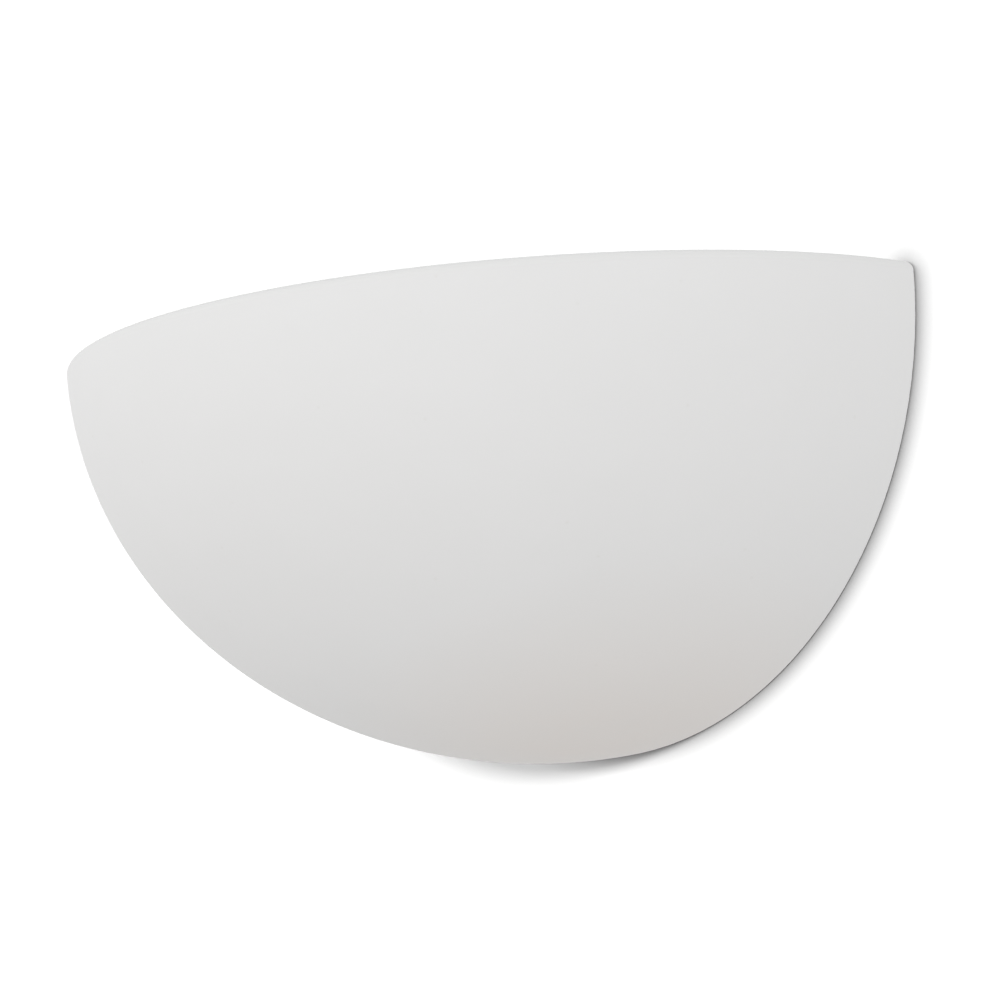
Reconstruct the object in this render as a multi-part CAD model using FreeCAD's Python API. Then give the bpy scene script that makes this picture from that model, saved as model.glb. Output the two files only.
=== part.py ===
"""Half-bowl uplighter wall sconce with an E27 lamp, as an assembly of separate pieces.

Millimetres.  +X is to the right seen from the room, +Z is up and -Y points from the wall into
the room.  The origin is on the wall plane, midway between the two wall-screw slots.
Each function makes one sub-part in its place, and build() writes them to parts/NAME.step.
"""

import FreeCAD, Part
import math
import os

# ---------------------------------------------------------------- clearances
SEAT_GAP = 0.3          # between curved seats of pieces that move apart
FACE_GAP = 0.1          # between flat faces that slide or turn on each other
THREAD_GAP = 0.1        # radial, between a hanging stud and its washer and thumb nut
BORE_GAP = 0.05         # radial, between a fixed shank and its hole
SOCKET_GAP = 0.3        # radial, between the lamp cap and the screw shell

# ---------------------------------------------------------------- ceramic bowl
BOWL_WIDTH = 300.0      # along the wall, at the rim
BOWL_PROJECTION = 165.0  # from the wall to the front of the rim
BOWL_HEIGHT = 140.0     # from the rim down to the lowest point, which is at the wall
BOWL_WALL = 7.0         # at the ends of the rim; elsewhere it follows the bowl's proportions
RIM_ABOVE_STUDS = 50.0  # rim plane above the hanging studs
RIM_ROUND = 2.6         # both edges of the rim
BACK_ROUND = 1.2        # outer edge of the face that meets the wall

# lugs cast inside the bowl's two back corners, each with a slot that is open at the bottom
STUD_FROM_BOWL = 22.0   # from a hanging stud to the bowl's inner wall
LUG_PAST_STUD = 11.0
LUG_THICKNESS = 10.0
LUG_ABOVE_STUD = 22.0
LUG_BELOW_STUD = 10.0
LUG_CORNER = 4.0
LUG_EDGE = 1.5
SLOT_WIDTH = 5.2

# ---------------------------------------------------------------- cable grommet
CABLE_HOLE_RADIUS = 7.5
GROMMET_RADIUS = 9.5
GROMMET_BORE_RADIUS = 4.0
GROMMET_LIP = 1.5
GROMMET_LIP_ROUND = 0.7

# ---------------------------------------------------------------- terminal block
POLE_PITCH = 10.0
POLE_COUNT = 3
BLOCK_FROM_GROMMET = 5.5
BLOCK_HEIGHT = 18.0
BLOCK_ABOVE_CENTRE = 6.0  # middle of the block above the cable hole
BLOCK_BASE = 8.0        # common base, in front of the bracket
BLOCK_DEPTH = 13.5      # base and towers together
TOWER_WIDTH = 8.4
TOWER_SETBACK = 1.5     # towers shorter than the base at each end
BLOCK_CORNER = 1.0
TOWER_CORNER = 1.6
WIRE_AXIS_DEPTH = 5.0   # wire bores in front of the bracket
WIRE_HOLE_RADIUS = 1.8
INSERT_RADIUS = 2.6
INSERT_BORE_RADIUS = 1.5
INSERT_LENGTH = 15.0
CLAMP_SCREW_SPREAD = 4.5  # from the middle of a pole to each of its two screws
CLAMP_SCREW_RADIUS = 1.4
CLAMP_SCREW_LENGTH = 4.0
CLAMP_WELL_RADIUS = 1.9

# ---------------------------------------------------------------- wall bracket
SHEET = 1.5             # thickness of every pressed-steel part
WEB_MARGIN = 2.0        # raised middle beyond the terminal block
WEB_HALF_HEIGHT = 32.0
WEB_RISE = 6.0          # from the wall to the back of the raised middle
RAMP_RUN = 6.0          # length along the wall of the slope down to each foot
FOOT_PAST_STUD = 10.0
FOOT_HALF_HEIGHT = 12.0
FOOT_CORNER = 9.5
NECK_ROUND = 8.0        # between the outline of the middle and the feet
BEND_ROUND = 1.0
FLANGE_DEPTH = 5.0      # turned edges along the top and bottom of the middle
FLANGE_INSET = 4.0
FLANGE_CORNER = 3.0
RIB_FROM_RAMP = 12.0    # pressed stiffening ribs on each foot
RIB_FROM_LUG = 5.0
RIB_WIDTH = 4.0
RIB_HEIGHT = 0.8
RIB_EDGE = 0.5
RIB_OFF_CENTRE = 7.5
PLUNGE_WALL = 1.0       # collar round a tapped M3 hole, drawn out of the sheet
PLUNGE_HEIGHT = 1.5

WALL_SLOT_FROM_STUD = 28.0
WALL_SLOT_WIDTH = 5.0
WALL_SLOT_LENGTH = 12.0

# ---------------------------------------------------------------- hanging studs and thumb nuts
M4_RADIUS = 2.0
STUD_HEAD_RADIUS = 3.6  # clinched into the sheet
STUD_HEAD_HEIGHT = 0.8
STUD_END_ROUND = 0.6
STUD_PAST_NUT = 6.0
WASHER_RADIUS = 6.5
WASHER_THICKNESS = 1.0
NUT_NECK_RADIUS = 4.5
NUT_NECK_LENGTH = 2.0
NUT_GRIP_RADIUS = 7.0
NUT_GRIP_LENGTH = 6.0
NUT_EDGE = 0.6
KNURL_COUNT = 24
KNURL_RADIUS = 0.45

# ---------------------------------------------------------------- lampholder
LAMP_AXIS_Y = -72.0     # the lamp lies level, along X
LAMP_AXIS_Z = 0.0
HOLDER_BASE_X = -62.0
HOLDER_LENGTH = 46.0
HOLDER_BASE_RADIUS = 18.5
HOLDER_BASE_LENGTH = 15.0
HOLDER_SKIRT_RADIUS = 20.5
HOLDER_GROOVE_RADIUS = 17.0
HOLDER_GROOVE_LENGTH = 4.0
HOLDER_EDGE = 1.2
HOLDER_FLOOR = 12.0     # porcelain behind the socket
WIRE_RECESS_RADIUS = 9.0
WIRE_RECESS_DEPTH = 4.0

SHELL_THICKNESS = 0.4   # brass screw shell inside the porcelain
SHELL_INSET = 2.0       # from the holder's mouth to the shell
SHELL_FLOOR_HOLE = 9.2
SHELL_TO_PORCELAIN = 0.4

RIVET_OFFSET = 5.5      # contact rivets, above and below the lamp's axis
RIVET_RADIUS = 1.5
RIVET_HEAD_RADIUS = 2.6
RIVET_HEAD_HEIGHT = 1.0
RIVET_TAIL_RADIUS = 2.3
RIVET_TAIL_HEIGHT = 0.6

TONGUE_WIDTH = 6.0      # sprung centre contact
TONGUE_THICKNESS = 0.5

# ---------------------------------------------------------------- holder arm and its screws
ARM_HALF_HEIGHT = 11.0
ARM_FROM_GROMMET = 8.5
ARM_PAST_LAMP = 18.0    # leg beyond the lamp's axis
ARM_CORNER = 7.0
ARM_BEND_ROUND = 1.4
ARM_GUSSET = 16.0
ARM_LEAD_HOLE_RADIUS = 8.0
ARM_SCREW_FROM_END = 8.0
ARM_SCREW_PITCH = 12.0

M4_HEAD_RADIUS = 3.8
M4_HEAD_HEIGHT = 2.6
M4_NUT_FLATS = 7.0
M4_NUT_HEIGHT = 3.0
SCREW_PAST_NUT = 1.0
M3_RADIUS = 1.5
M3_HEAD_RADIUS = 2.5
M3_HEAD_HEIGHT = 1.9
SCREW_PAST_SHEET = 2.5  # M3 screws in the tapped sheet
HOLDER_SCREW_OFFSET = 13.0
HOLDER_SCREW_DEPTH = 7.0

# ---------------------------------------------------------------- E27 lamp
LAMP_LENGTH = 108.0
LAMP_RADIUS = 30.0
CAP_RADIUS = 13.1
CAP_LENGTH = 23.0
CAP_WALL = 0.4
CAP_FOLD = 0.8          # rolled edge where the cap meets its insulator
INSULATOR_HEIGHT = 3.0
INSULATOR_TIP_RADIUS = 5.5
LAMP_CONTACT_RADIUS = 4.5
LAMP_CONTACT_HEIGHT = 1.2
LAMP_CONTACT_ROUND = 0.6
GLASS_WALL = 1.0
GLASS_IN_CAP = 4.0
GLASS_NECK_FLARE = 1.2  # widening where the neck leaves the cap
GLASS_NECK_LENGTH = 5.0
GLASS_HOLD_NECK = 0.35  # share of the swelling over which it keeps the neck's slope
GLASS_HOLD_BALL = 0.45  # share of the swelling over which it keeps the ball's slope

# ---------------------------------------------------------------- earth connection
EARTH_X = -4.0
EARTH_FROM_EDGE = 14.0  # from the earth stud down to the bracket's lower edge
EARTH_STUD_PAST_NUT = 5.0
RING_RADIUS = 4.0
RING_THICKNESS = 0.8
RING_NECK = 1.0
RING_BARREL_RADIUS = 1.7
RING_BARREL_LENGTH = 6.0
EARTH_WASHER_RADIUS = 4.5
EARTH_WASHER_THICKNESS = 0.8

# ---------------------------------------------------------------- internal leads and their clips
LEAD_RADIUS = 1.2       # silicone-insulated, 0.75 mm2
CORE_RADIUS = 0.6       # bared end inside a terminal
CORE_LENGTH = 6.0
LEAD_SPACING = 2.7      # between the two leads where a clip holds them
CLIP_WIDTH = 6.0
CLIP_WALL = 1.2
CLIP_FIT = 0.2
CLIP_EAR_LENGTH = 7.0
CLIP_EAR_THICKNESS = 1.6
CLIP_CORNER = 1.0
ARM_CLIP_Y = -36.0
WEB_CLIP_X = -24.0
CLIP_FROM_FLANGE = 0.8  # between the clip on the bracket and the turned edge below it

# Centre lines of the leads.  Each leg's points are measured from the place that lead_route() gives
# it: where the lead leaves the holder, lies in a clip, rounds the arm or enters its pole.
LIVE_LEGS = {
    "holder": [
        (3.0, 0.0, 0.0), (-4.0, 0.0, 0.0), (-9.6, 3.2, -0.2), (-12.6, 9.6, -0.9), (-11.1, 18.0, -2.3),
    ],
    "arm_clip": [(0.0, -9.0, 0.0), (0.0, 8.0, 0.0)],
    "arm_corner": [(-4.1, -11.9, 6.2), (-2.1, -5.3, -1.6), (5.2, -2.0, -8.0)],
    "web_clip": [
        (-22.5, 0.0, 1.2), (-9.0, 0.0, 0.0), (10.0, 0.0, 0.0), (27.0, -0.9, -0.2), (42.5, -3.2, 0.1),
        (50.2, -3.7, 4.3),
    ],
    "pole": [(0.0, 0.0, -10.0), (0.0, 0.0, 1.0)],
}
NEUTRAL_LEGS = {
    "holder": [
        (3.0, 0.0, 0.0), (-4.0, 0.0, 0.0), (-9.9, 3.0, 0.2), (-13.1, 9.3, 0.8), (-11.4, 17.9, 2.3),
    ],
    "arm_clip": [(0.0, -9.0, 0.0), (0.0, 8.0, 0.0)],
    "arm_corner": [(-5.0, -12.9, 3.0), (-3.2, -6.1, -4.8), (4.1, -2.3, -11.4)],
    "web_clip": [
        (-23.0, 0.0, 0.8), (-9.0, 0.0, 0.0), (10.0, 0.0, 0.0), (28.0, -1.0, -0.4), (50.5, -3.2, -0.2),
        (59.0, -3.7, 4.0),
    ],
    "pole": [(0.0, 0.0, -12.0), (0.0, 0.0, 1.0)],
}
EARTH_LEGS = {
    "ring_barrel": [(0.0, 0.0, 0.0), (4.5, 0.0, 0.0), (10.0, -1.4, 3.2)],
    "pole": [(0.0, 0.0, -5.5), (0.0, 0.0, 1.0)],
}
ARC_SHARE = 0.45        # of the shorter run beside a corner of a lead, taken up by its arc

# ---------------------------------------------------------------- places worked out from the sizes
EPS = 1.0               # how far a cutting tool runs past what it cuts
NEAR = 1e-3             # two places this close are the same
PARALLEL = 1e-6         # two directions this close are the same

BOWL_HALF = BOWL_WIDTH / 2
INSIDE_SCALE = 1 - BOWL_WALL / BOWL_HALF
INSIDE_AT_STUDS = INSIDE_SCALE * BOWL_HALF * math.sqrt(
    1 - (RIM_ABOVE_STUDS / (INSIDE_SCALE * BOWL_HEIGHT)) ** 2
)
STUD_X = math.floor(INSIDE_AT_STUDS - STUD_FROM_BOWL)  # a whole millimetre, as on a drilling template
WALL_SLOT_X = STUD_X - WALL_SLOT_FROM_STUD
FOOT_END_X = STUD_X + FOOT_PAST_STUD
LUG_INNER_X = STUD_X - LUG_PAST_STUD

BLOCK_LEFT = GROMMET_RADIUS + BLOCK_FROM_GROMMET
BLOCK_RIGHT = BLOCK_LEFT + POLE_COUNT * POLE_PITCH
BLOCK_BOTTOM = BLOCK_ABOVE_CENTRE - BLOCK_HEIGHT / 2
BLOCK_TOP = BLOCK_ABOVE_CENTRE + BLOCK_HEIGHT / 2
POLE_X = [BLOCK_LEFT + (i + 0.5) * POLE_PITCH for i in range(POLE_COUNT)]
BLOCK_SCREW_X = BLOCK_LEFT + POLE_PITCH
WEB_HALF_WIDTH = BLOCK_RIGHT + WEB_MARGIN
RAMP_END = WEB_HALF_WIDTH + RAMP_RUN

BACK_OF_WEB = -WEB_RISE
FRONT_OF_WEB = BACK_OF_WEB - SHEET
FRONT_OF_FOOT = -SHEET
WIRE_Y = FRONT_OF_WEB - WIRE_AXIS_DEPTH

LUG_BACK = FRONT_OF_FOOT - SEAT_GAP
LUG_FRONT = LUG_BACK - LUG_THICKNESS
WASHER_BACK = LUG_FRONT - FACE_GAP
NUT_BACK = WASHER_BACK - WASHER_THICKNESS - FACE_GAP
NUT_LENGTH = NUT_NECK_LENGTH + NUT_GRIP_LENGTH
STUD_LENGTH = NUT_LENGTH + STUD_PAST_NUT - NUT_BACK

HOLDER_MOUTH_X = HOLDER_BASE_X + HOLDER_LENGTH
HOLDER_FLOOR_X = HOLDER_BASE_X + HOLDER_FLOOR
SHELL_RADIUS = CAP_RADIUS + SOCKET_GAP
CAVITY_RADIUS = SHELL_RADIUS + SHELL_THICKNESS + SHELL_TO_PORCELAIN
SHELL_FRONT_X = HOLDER_MOUTH_X - SHELL_INSET
CAP_END_X = SHELL_FRONT_X - FACE_GAP
CAP_START_X = CAP_END_X - CAP_LENGTH
LAMP_TIP_X = CAP_START_X - INSULATOR_HEIGHT - LAMP_CONTACT_HEIGHT
LAMP_END_X = LAMP_TIP_X + LAMP_LENGTH
GLASS_NECK_RADIUS = CAP_RADIUS - CAP_WALL - SOCKET_GAP

ARM_BACK_X = HOLDER_BASE_X - SHEET
ARM_NOSE_Y = LAMP_AXIS_Y - ARM_PAST_LAMP
ARM_FOOT_FRONT = FRONT_OF_WEB - SHEET
ARM_FOOT_END_X = -GROMMET_RADIUS - ARM_FROM_GROMMET
ARM_SCREW_X = [ARM_FOOT_END_X - ARM_SCREW_FROM_END - i * ARM_SCREW_PITCH for i in range(2)]

CLIP_INSIDE = LEAD_SPACING / 2 + LEAD_RADIUS + CLIP_FIT / 2
CLIP_OUTSIDE = CLIP_INSIDE + CLIP_WALL
CLIP_HOLE = CLIP_OUTSIDE + CLIP_EAR_LENGTH / 2
WEB_CLIP_Z = -WEB_HALF_HEIGHT + SHEET + CLIP_FROM_FLANGE + CLIP_OUTSIDE

EARTH_Z = -WEB_HALF_HEIGHT + EARTH_FROM_EDGE
RING_BARREL_X = EARTH_X + RING_RADIUS + RING_NECK

X = FreeCAD.Vector(1, 0, 0)
Y = FreeCAD.Vector(0, 1, 0)
Z = FreeCAD.Vector(0, 0, 1)
SIDES = (-1, 1)


# ================================================================ helpers
def vec(x, y, z):
    return FreeCAD.Vector(x, y, z)


def box(x_range, y_range, z_range):
    """A box from its lowest and highest X, Y and Z."""
    low = vec(x_range[0], y_range[0], z_range[0])
    high = vec(x_range[1], y_range[1], z_range[1])
    size = high - low
    return Part.makeBox(size.x, size.y, size.z, low)


def rod(radius, start, axis, length):
    """A cylinder that begins at start and runs length along axis."""
    return Part.makeCylinder(radius, length, start, axis)


def fuse(shapes):
    """One clean solid from overlapping or touching shapes."""
    return shapes[0].multiFuse(shapes[1:]).removeSplitter()


def rounded(shape, radius, wanted):
    """Rounds the edges for which wanted(edge) is true."""
    edges = [edge for edge in shape.Edges if not edge.Degenerated and wanted(edge)]
    return shape.makeFillet(radius, edges)


def along(edge, axis):
    """True for a straight edge parallel to axis."""
    if not isinstance(edge.Curve, Part.Line):
        return False
    return abs(abs(edge.Curve.Direction.dot(axis)) - 1) < PARALLEL


def at(value, wanted):
    """True where two lengths are the same."""
    return abs(value - wanted) < NEAR


def turned(profile, axis_point, axis):
    """A solid turned about an axis from its half outline: (distance along the axis, radius)."""
    across = X if at(abs(axis.dot(Z)), 1) else Z
    outline = [axis_point + axis * distance + across * radius for distance, radius in profile]
    face = Part.Face(Part.makePolygon(outline + outline[:1]))
    return face.revolve(axis_point, axis, 360)


def mirrored(shape):
    """The same shape on the other side of the sconce."""
    return shape.mirror(vec(0, 0, 0), X)


def pan_screw(seat, axis, shank, length, head, height):
    """A pan-head screw.  seat is the middle of the head's underside; axis points down the shank."""
    cap = rounded(
        rod(head, seat - axis * height, axis, height), height / 2,
        lambda edge: edge.Closed and (edge.CenterOfMass - seat).dot(axis) < -height / 2,
    )
    return fuse([cap, rod(shank, seat, axis, length)])


def slotted_hole(x, z, width, length):
    """A cutter along Y for a round-ended slot whose length is along X."""
    half = (length - width) / 2
    deep = WEB_RISE + SHEET + FLANGE_DEPTH + EPS
    ends = [rod(width / 2, vec(x + side * half, -deep, z), Y, 2 * deep) for side in SIDES]
    middle = box((x - half, x + half), (-deep, deep), (z - width / 2, z + width / 2))
    return fuse(ends + [middle])


def through_hole(radius, x, z):
    """A cutter along Y that passes through the whole bracket."""
    deep = WEB_RISE + SHEET + FLANGE_DEPTH + EPS
    return rod(radius, vec(x, -deep, z), Y, 2 * deep)


def lead_path(points):
    """Straight runs joined by tangent arcs, each as large as its two runs allow."""
    edges = []
    radii = []
    start = points[0]
    for before, corner, after in zip(points, points[1:], points[2:]):
        back = before - corner
        ahead = after - corner
        cut = ARC_SHARE * min(back.Length, ahead.Length)
        back.normalize()
        ahead.normalize()
        half_turn = (math.pi - back.getAngle(ahead)) / 2
        radius = cut / math.tan(half_turn)
        inward = (back + ahead).normalize()
        enter = corner + back * cut
        leave = corner + ahead * cut
        middle = corner + inward * (radius / math.cos(half_turn) - radius)
        edges.append(Part.LineSegment(start, enter).toShape())
        edges.append(Part.Arc(enter, middle, leave).toShape())
        radii.append(round(radius, 1))
        start = leave
    edges.append(Part.LineSegment(start, points[-1]).toShape())
    return Part.Wire(edges), radii


def lead_route(legs, side, pole):
    """A lead's points in order.  side is 1 for the upper of the two lamp leads and -1 for the lower."""
    in_clip = side * LEAD_SPACING / 2
    lift = LEAD_RADIUS + CLIP_FIT / 2
    starts = {
        "holder": on_lamp_axis(HOLDER_BASE_X, side * RIVET_OFFSET),
        "arm_clip": vec(ARM_BACK_X - lift, ARM_CLIP_Y, in_clip),
        "arm_corner": vec(ARM_BACK_X, FRONT_OF_WEB, -ARM_HALF_HEIGHT),
        "web_clip": vec(WEB_CLIP_X, FRONT_OF_WEB - lift, WEB_CLIP_Z + in_clip),
        "ring_barrel": vec(RING_BARREL_X + RING_BARREL_LENGTH, FRONT_OF_WEB - RING_BARREL_RADIUS, EARTH_Z),
        "pole": vec(POLE_X[pole], WIRE_Y, BLOCK_BOTTOM),
    }
    return [starts[leg] + vec(*point) for leg, points in legs.items() for point in points]


def lead(name, points, cored_ends):
    """An insulated lead with a bared core at each of the cored_ends (0 is the start, -1 the end)."""
    path, radii = lead_path(points)
    profile = Part.Wire(Part.makeCircle(LEAD_RADIUS, points[0], points[1] - points[0]))
    tube = path.makePipeShell([profile], True, False)
    ratio = tube.Volume / (math.pi * LEAD_RADIUS ** 2 * path.Length)
    print(f"{name}: length {path.Length:.1f}, volume / (section x length) {ratio:.4f}, radii {radii}")
    cores = []
    for end in cored_ends:
        inner = points[1] if end == 0 else points[-2]
        outward = (points[end] - inner).normalize()
        cores.append(rod(CORE_RADIUS, points[end] - outward * EPS, outward, CORE_LENGTH + EPS))
    return fuse([tube] + cores) if cores else tube


# ================================================================ ceramic bowl
def half_ball(radius):
    """The quarter of a ball that lies below the rim plane and in front of the wall."""
    ball = Part.makeSphere(radius, vec(0, 0, 0), Z, -90, 0, 180)
    ball.rotate(vec(0, 0, 0), Z, 180)
    return ball


def stretched(shape):
    """Brings a shape drawn on a round ball to the bowl's own projection and height."""
    stretch = FreeCAD.Matrix()
    stretch.scale(1, BOWL_PROJECTION / BOWL_HALF, BOWL_HEIGHT / BOWL_HALF)
    shape = shape.transformGeometry(stretch)
    shape.translate(vec(0, 0, RIM_ABOVE_STUDS))
    return shape


def bowl_shell():
    """The open shell, with a soft rim and a softened edge against the wall."""
    inside_radius = BOWL_HALF * INSIDE_SCALE
    shell = half_ball(BOWL_HALF).cut(half_ball(inside_radius))
    shell = rounded(
        shell, BACK_ROUND,
        lambda edge: edge.BoundBox.YMin > -NEAR and edge.BoundBox.ZMin < -inside_radius - EPS,
    )
    shell = rounded(
        shell, RIM_ROUND,
        lambda edge: edge.BoundBox.ZMin > -NEAR and edge.BoundBox.YMin < -EPS,
    )
    return stretched(shell)


def lug():
    """The right-hand hanging lug, from its slot out to the middle of the bowl's wall."""
    pad = box((LUG_INNER_X, BOWL_HALF), (LUG_FRONT, LUG_BACK), (-LUG_BELOW_STUD, LUG_ABOVE_STUD))
    pad = rounded(pad, LUG_CORNER, lambda edge: along(edge, Y) and at(edge.BoundBox.XMax, LUG_INNER_X))
    pad = rounded(
        pad, LUG_EDGE,
        lambda edge: at(edge.BoundBox.YMax, LUG_FRONT) and edge.BoundBox.XMin < BOWL_HALF - EPS,
    )
    return pad.common(stretched(half_ball(BOWL_HALF - BOWL_WALL / 2)))


def lug_slot():
    """The slot that drops over a hanging stud: round and closed at the top, open at the bottom."""
    radius = SLOT_WIDTH / 2
    centre_z = M4_RADIUS + SEAT_GAP - radius
    depth = (LUG_FRONT - EPS, LUG_BACK + EPS)
    top = rod(radius, vec(STUD_X, depth[0], centre_z), Y, depth[1] - depth[0])
    legs = box((STUD_X - radius, STUD_X + radius), depth, (-LUG_BELOW_STUD - EPS, centre_z))
    return fuse([top, legs])


def ceramic_bowl():
    right = lug().cut(lug_slot())
    return fuse([bowl_shell(), right, mirrored(right)])


# ================================================================ wall bracket and what is fixed in it
def bracket_outline():
    """Front view: a tall middle with a narrower foot on each side, thick enough to cut with."""
    depth = (FRONT_OF_WEB - EPS, EPS)
    middle = box((-RAMP_END, RAMP_END), depth, (-WEB_HALF_HEIGHT, WEB_HALF_HEIGHT))
    feet = box((-FOOT_END_X, FOOT_END_X), depth, (-FOOT_HALF_HEIGHT, FOOT_HALF_HEIGHT))
    shape = fuse([middle, feet])
    shape = rounded(
        shape, FOOT_CORNER,
        lambda edge: along(edge, Y) and at(abs(edge.CenterOfMass.x), FOOT_END_X),
    )
    return rounded(
        shape, NECK_ROUND,
        lambda edge: along(edge, Y) and at(abs(edge.CenterOfMass.z), FOOT_HALF_HEIGHT)
        and at(abs(edge.CenterOfMass.x), RAMP_END),
    )


def bracket_section():
    """The bent strip: a raised middle, a slope each side, and flat feet on the wall."""
    lean = SHEET * math.tan(math.atan2(WEB_RISE, RAMP_RUN) / 2)
    back = [
        (-FOOT_END_X, 0), (-RAMP_END, 0), (-WEB_HALF_WIDTH, BACK_OF_WEB),
        (WEB_HALF_WIDTH, BACK_OF_WEB), (RAMP_END, 0), (FOOT_END_X, 0),
    ]
    front = [
        (FOOT_END_X, FRONT_OF_FOOT), (RAMP_END + lean, FRONT_OF_FOOT),
        (WEB_HALF_WIDTH + lean, FRONT_OF_WEB), (-WEB_HALF_WIDTH - lean, FRONT_OF_WEB),
        (-RAMP_END - lean, FRONT_OF_FOOT), (-FOOT_END_X, FRONT_OF_FOOT),
    ]
    points = [vec(x, y, -WEB_HALF_HEIGHT) for x, y in back + front]
    strip = Part.Face(Part.makePolygon(points + points[:1])).extrude(Z * (2 * WEB_HALF_HEIGHT))
    return rounded(
        strip, BEND_ROUND,
        lambda edge: along(edge, Z) and abs(edge.CenterOfMass.x) < FOOT_END_X - EPS,
    )


def bracket_flange():
    """The turned edge along the top of the raised middle."""
    half = WEB_HALF_WIDTH - FLANGE_INSET
    front = FRONT_OF_WEB - FLANGE_DEPTH
    lip = box((-half, half), (front, BACK_OF_WEB), (WEB_HALF_HEIGHT - SHEET, WEB_HALF_HEIGHT))
    return rounded(lip, FLANGE_CORNER, lambda edge: along(edge, Z) and at(edge.CenterOfMass.y, front))


def foot_rib(z):
    """A pressed rib on the front of the right foot."""
    start = RAMP_END + RIB_FROM_RAMP
    end = LUG_INNER_X - RIB_FROM_LUG
    radius = RIB_WIDTH / 2
    root = FRONT_OF_FOOT + SHEET / 2
    crest = FRONT_OF_FOOT - RIB_HEIGHT
    ends = [rod(radius, vec(x, root, z), -Y, root - crest) for x in (start + radius, end - radius)]
    middle = box((start + radius, end - radius), (crest, root), (z - radius, z + radius))
    return rounded(fuse(ends + [middle]), RIB_EDGE, lambda edge: at(edge.BoundBox.YMax, crest))


def plunge(x, z):
    """The collar drawn out behind the raised middle round a tapped M3 hole."""
    return rod(M3_RADIUS + PLUNGE_WALL, vec(x, FRONT_OF_WEB, z), Y, SHEET + PLUNGE_HEIGHT)


def tapped_places():
    """X and Z of the tapped M3 holes in the raised middle: terminal block and lead clip."""
    return [(BLOCK_SCREW_X, BLOCK_ABOVE_CENTRE), (WEB_CLIP_X, WEB_CLIP_Z + CLIP_HOLE)]


def wall_bracket():
    strip = bracket_section().common(bracket_outline())
    top = bracket_flange()
    ribs = [foot_rib(RIB_OFF_CENTRE), foot_rib(-RIB_OFF_CENTRE)]
    added = [top, top.mirror(vec(0, 0, 0), Z)] + ribs + [mirrored(rib) for rib in ribs]
    added += [plunge(x, z) for x, z in tapped_places()]
    holes = [through_hole(CABLE_HOLE_RADIUS, 0, 0), through_hole(M4_RADIUS + BORE_GAP, EARTH_X, EARTH_Z)]
    head_hole = STUD_HEAD_RADIUS + BORE_GAP
    holes.append(rod(head_hole, vec(EARTH_X, BACK_OF_WEB - STUD_HEAD_HEIGHT, EARTH_Z), Y, WEB_RISE))
    for side in SIDES:
        holes.append(slotted_hole(side * WALL_SLOT_X, 0, WALL_SLOT_WIDTH, WALL_SLOT_LENGTH))
        holes.append(through_hole(M4_RADIUS + BORE_GAP, side * STUD_X, 0))
        holes.append(rod(head_hole, vec(side * STUD_X, -STUD_HEAD_HEIGHT, 0), Y, WEB_RISE))
    holes += [through_hole(M4_RADIUS + BORE_GAP, x, 0) for x in ARM_SCREW_X]
    holes += [through_hole(M3_RADIUS + BORE_GAP, x, z) for x, z in tapped_places()]
    return fuse([strip] + added).cut(Part.makeCompound(holes))


def clinched_stud(x, z, back, length):
    """An M4 stud whose head is pressed flush into the back of the sheet."""
    end = back - length
    shank = rounded(
        rod(M4_RADIUS, vec(x, back, z), -Y, length), STUD_END_ROUND,
        lambda edge: edge.Closed and at(edge.CenterOfMass.y, end),
    )
    return fuse([rod(STUD_HEAD_RADIUS, vec(x, back, z), -Y, STUD_HEAD_HEIGHT), shank])


def hanging_stud():
    return clinched_stud(STUD_X, 0, 0, STUD_LENGTH)


def cable_grommet():
    """Rubber bush with a groove that grips the sheet round the cable hole."""
    groove = CABLE_HOLE_RADIUS - BORE_GAP
    lip = GROMMET_RADIUS - GROMMET_LIP_ROUND
    face = SHEET / 2
    end = face + GROMMET_LIP
    shoulder = end - GROMMET_LIP_ROUND
    profile = [
        (-end, GROMMET_BORE_RADIUS), (-end, lip), (-shoulder, GROMMET_RADIUS), (-face, GROMMET_RADIUS),
        (-face, groove), (face, groove),
        (face, GROMMET_RADIUS), (shoulder, GROMMET_RADIUS), (end, lip), (end, GROMMET_BORE_RADIUS),
    ]
    return turned(profile, vec(0, BACK_OF_WEB - face, 0), Y)


# ================================================================ washers and thumb nuts
def fibre_washer():
    bore = M4_RADIUS + THREAD_GAP
    profile = [(0, bore), (0, WASHER_RADIUS), (WASHER_THICKNESS, WASHER_RADIUS), (WASHER_THICKNESS, bore)]
    return turned(profile, vec(STUD_X, WASHER_BACK, 0), -Y)


def thumb_nut():
    """A knurled nut with a narrower neck against the washer."""
    bore = M4_RADIUS + THREAD_GAP
    grip = NUT_GRIP_RADIUS - NUT_EDGE
    profile = [
        (0, bore), (0, NUT_NECK_RADIUS), (NUT_NECK_LENGTH, NUT_NECK_RADIUS), (NUT_NECK_LENGTH, grip),
        (NUT_NECK_LENGTH + NUT_EDGE, NUT_GRIP_RADIUS), (NUT_LENGTH - NUT_EDGE, NUT_GRIP_RADIUS),
        (NUT_LENGTH, grip), (NUT_LENGTH, bore),
    ]
    nut = turned(profile, vec(STUD_X, NUT_BACK, 0), -Y)
    grooves = []
    for i in range(KNURL_COUNT):
        angle = 2 * math.pi * i / KNURL_COUNT
        around = vec(math.cos(angle), 0, math.sin(angle)) * NUT_GRIP_RADIUS
        start = vec(STUD_X, NUT_BACK - NUT_NECK_LENGTH + EPS, 0) + around
        grooves.append(rod(KNURL_RADIUS, start, -Y, NUT_GRIP_LENGTH + 2 * EPS))
    return nut.cut(Part.makeCompound(grooves))


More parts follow.
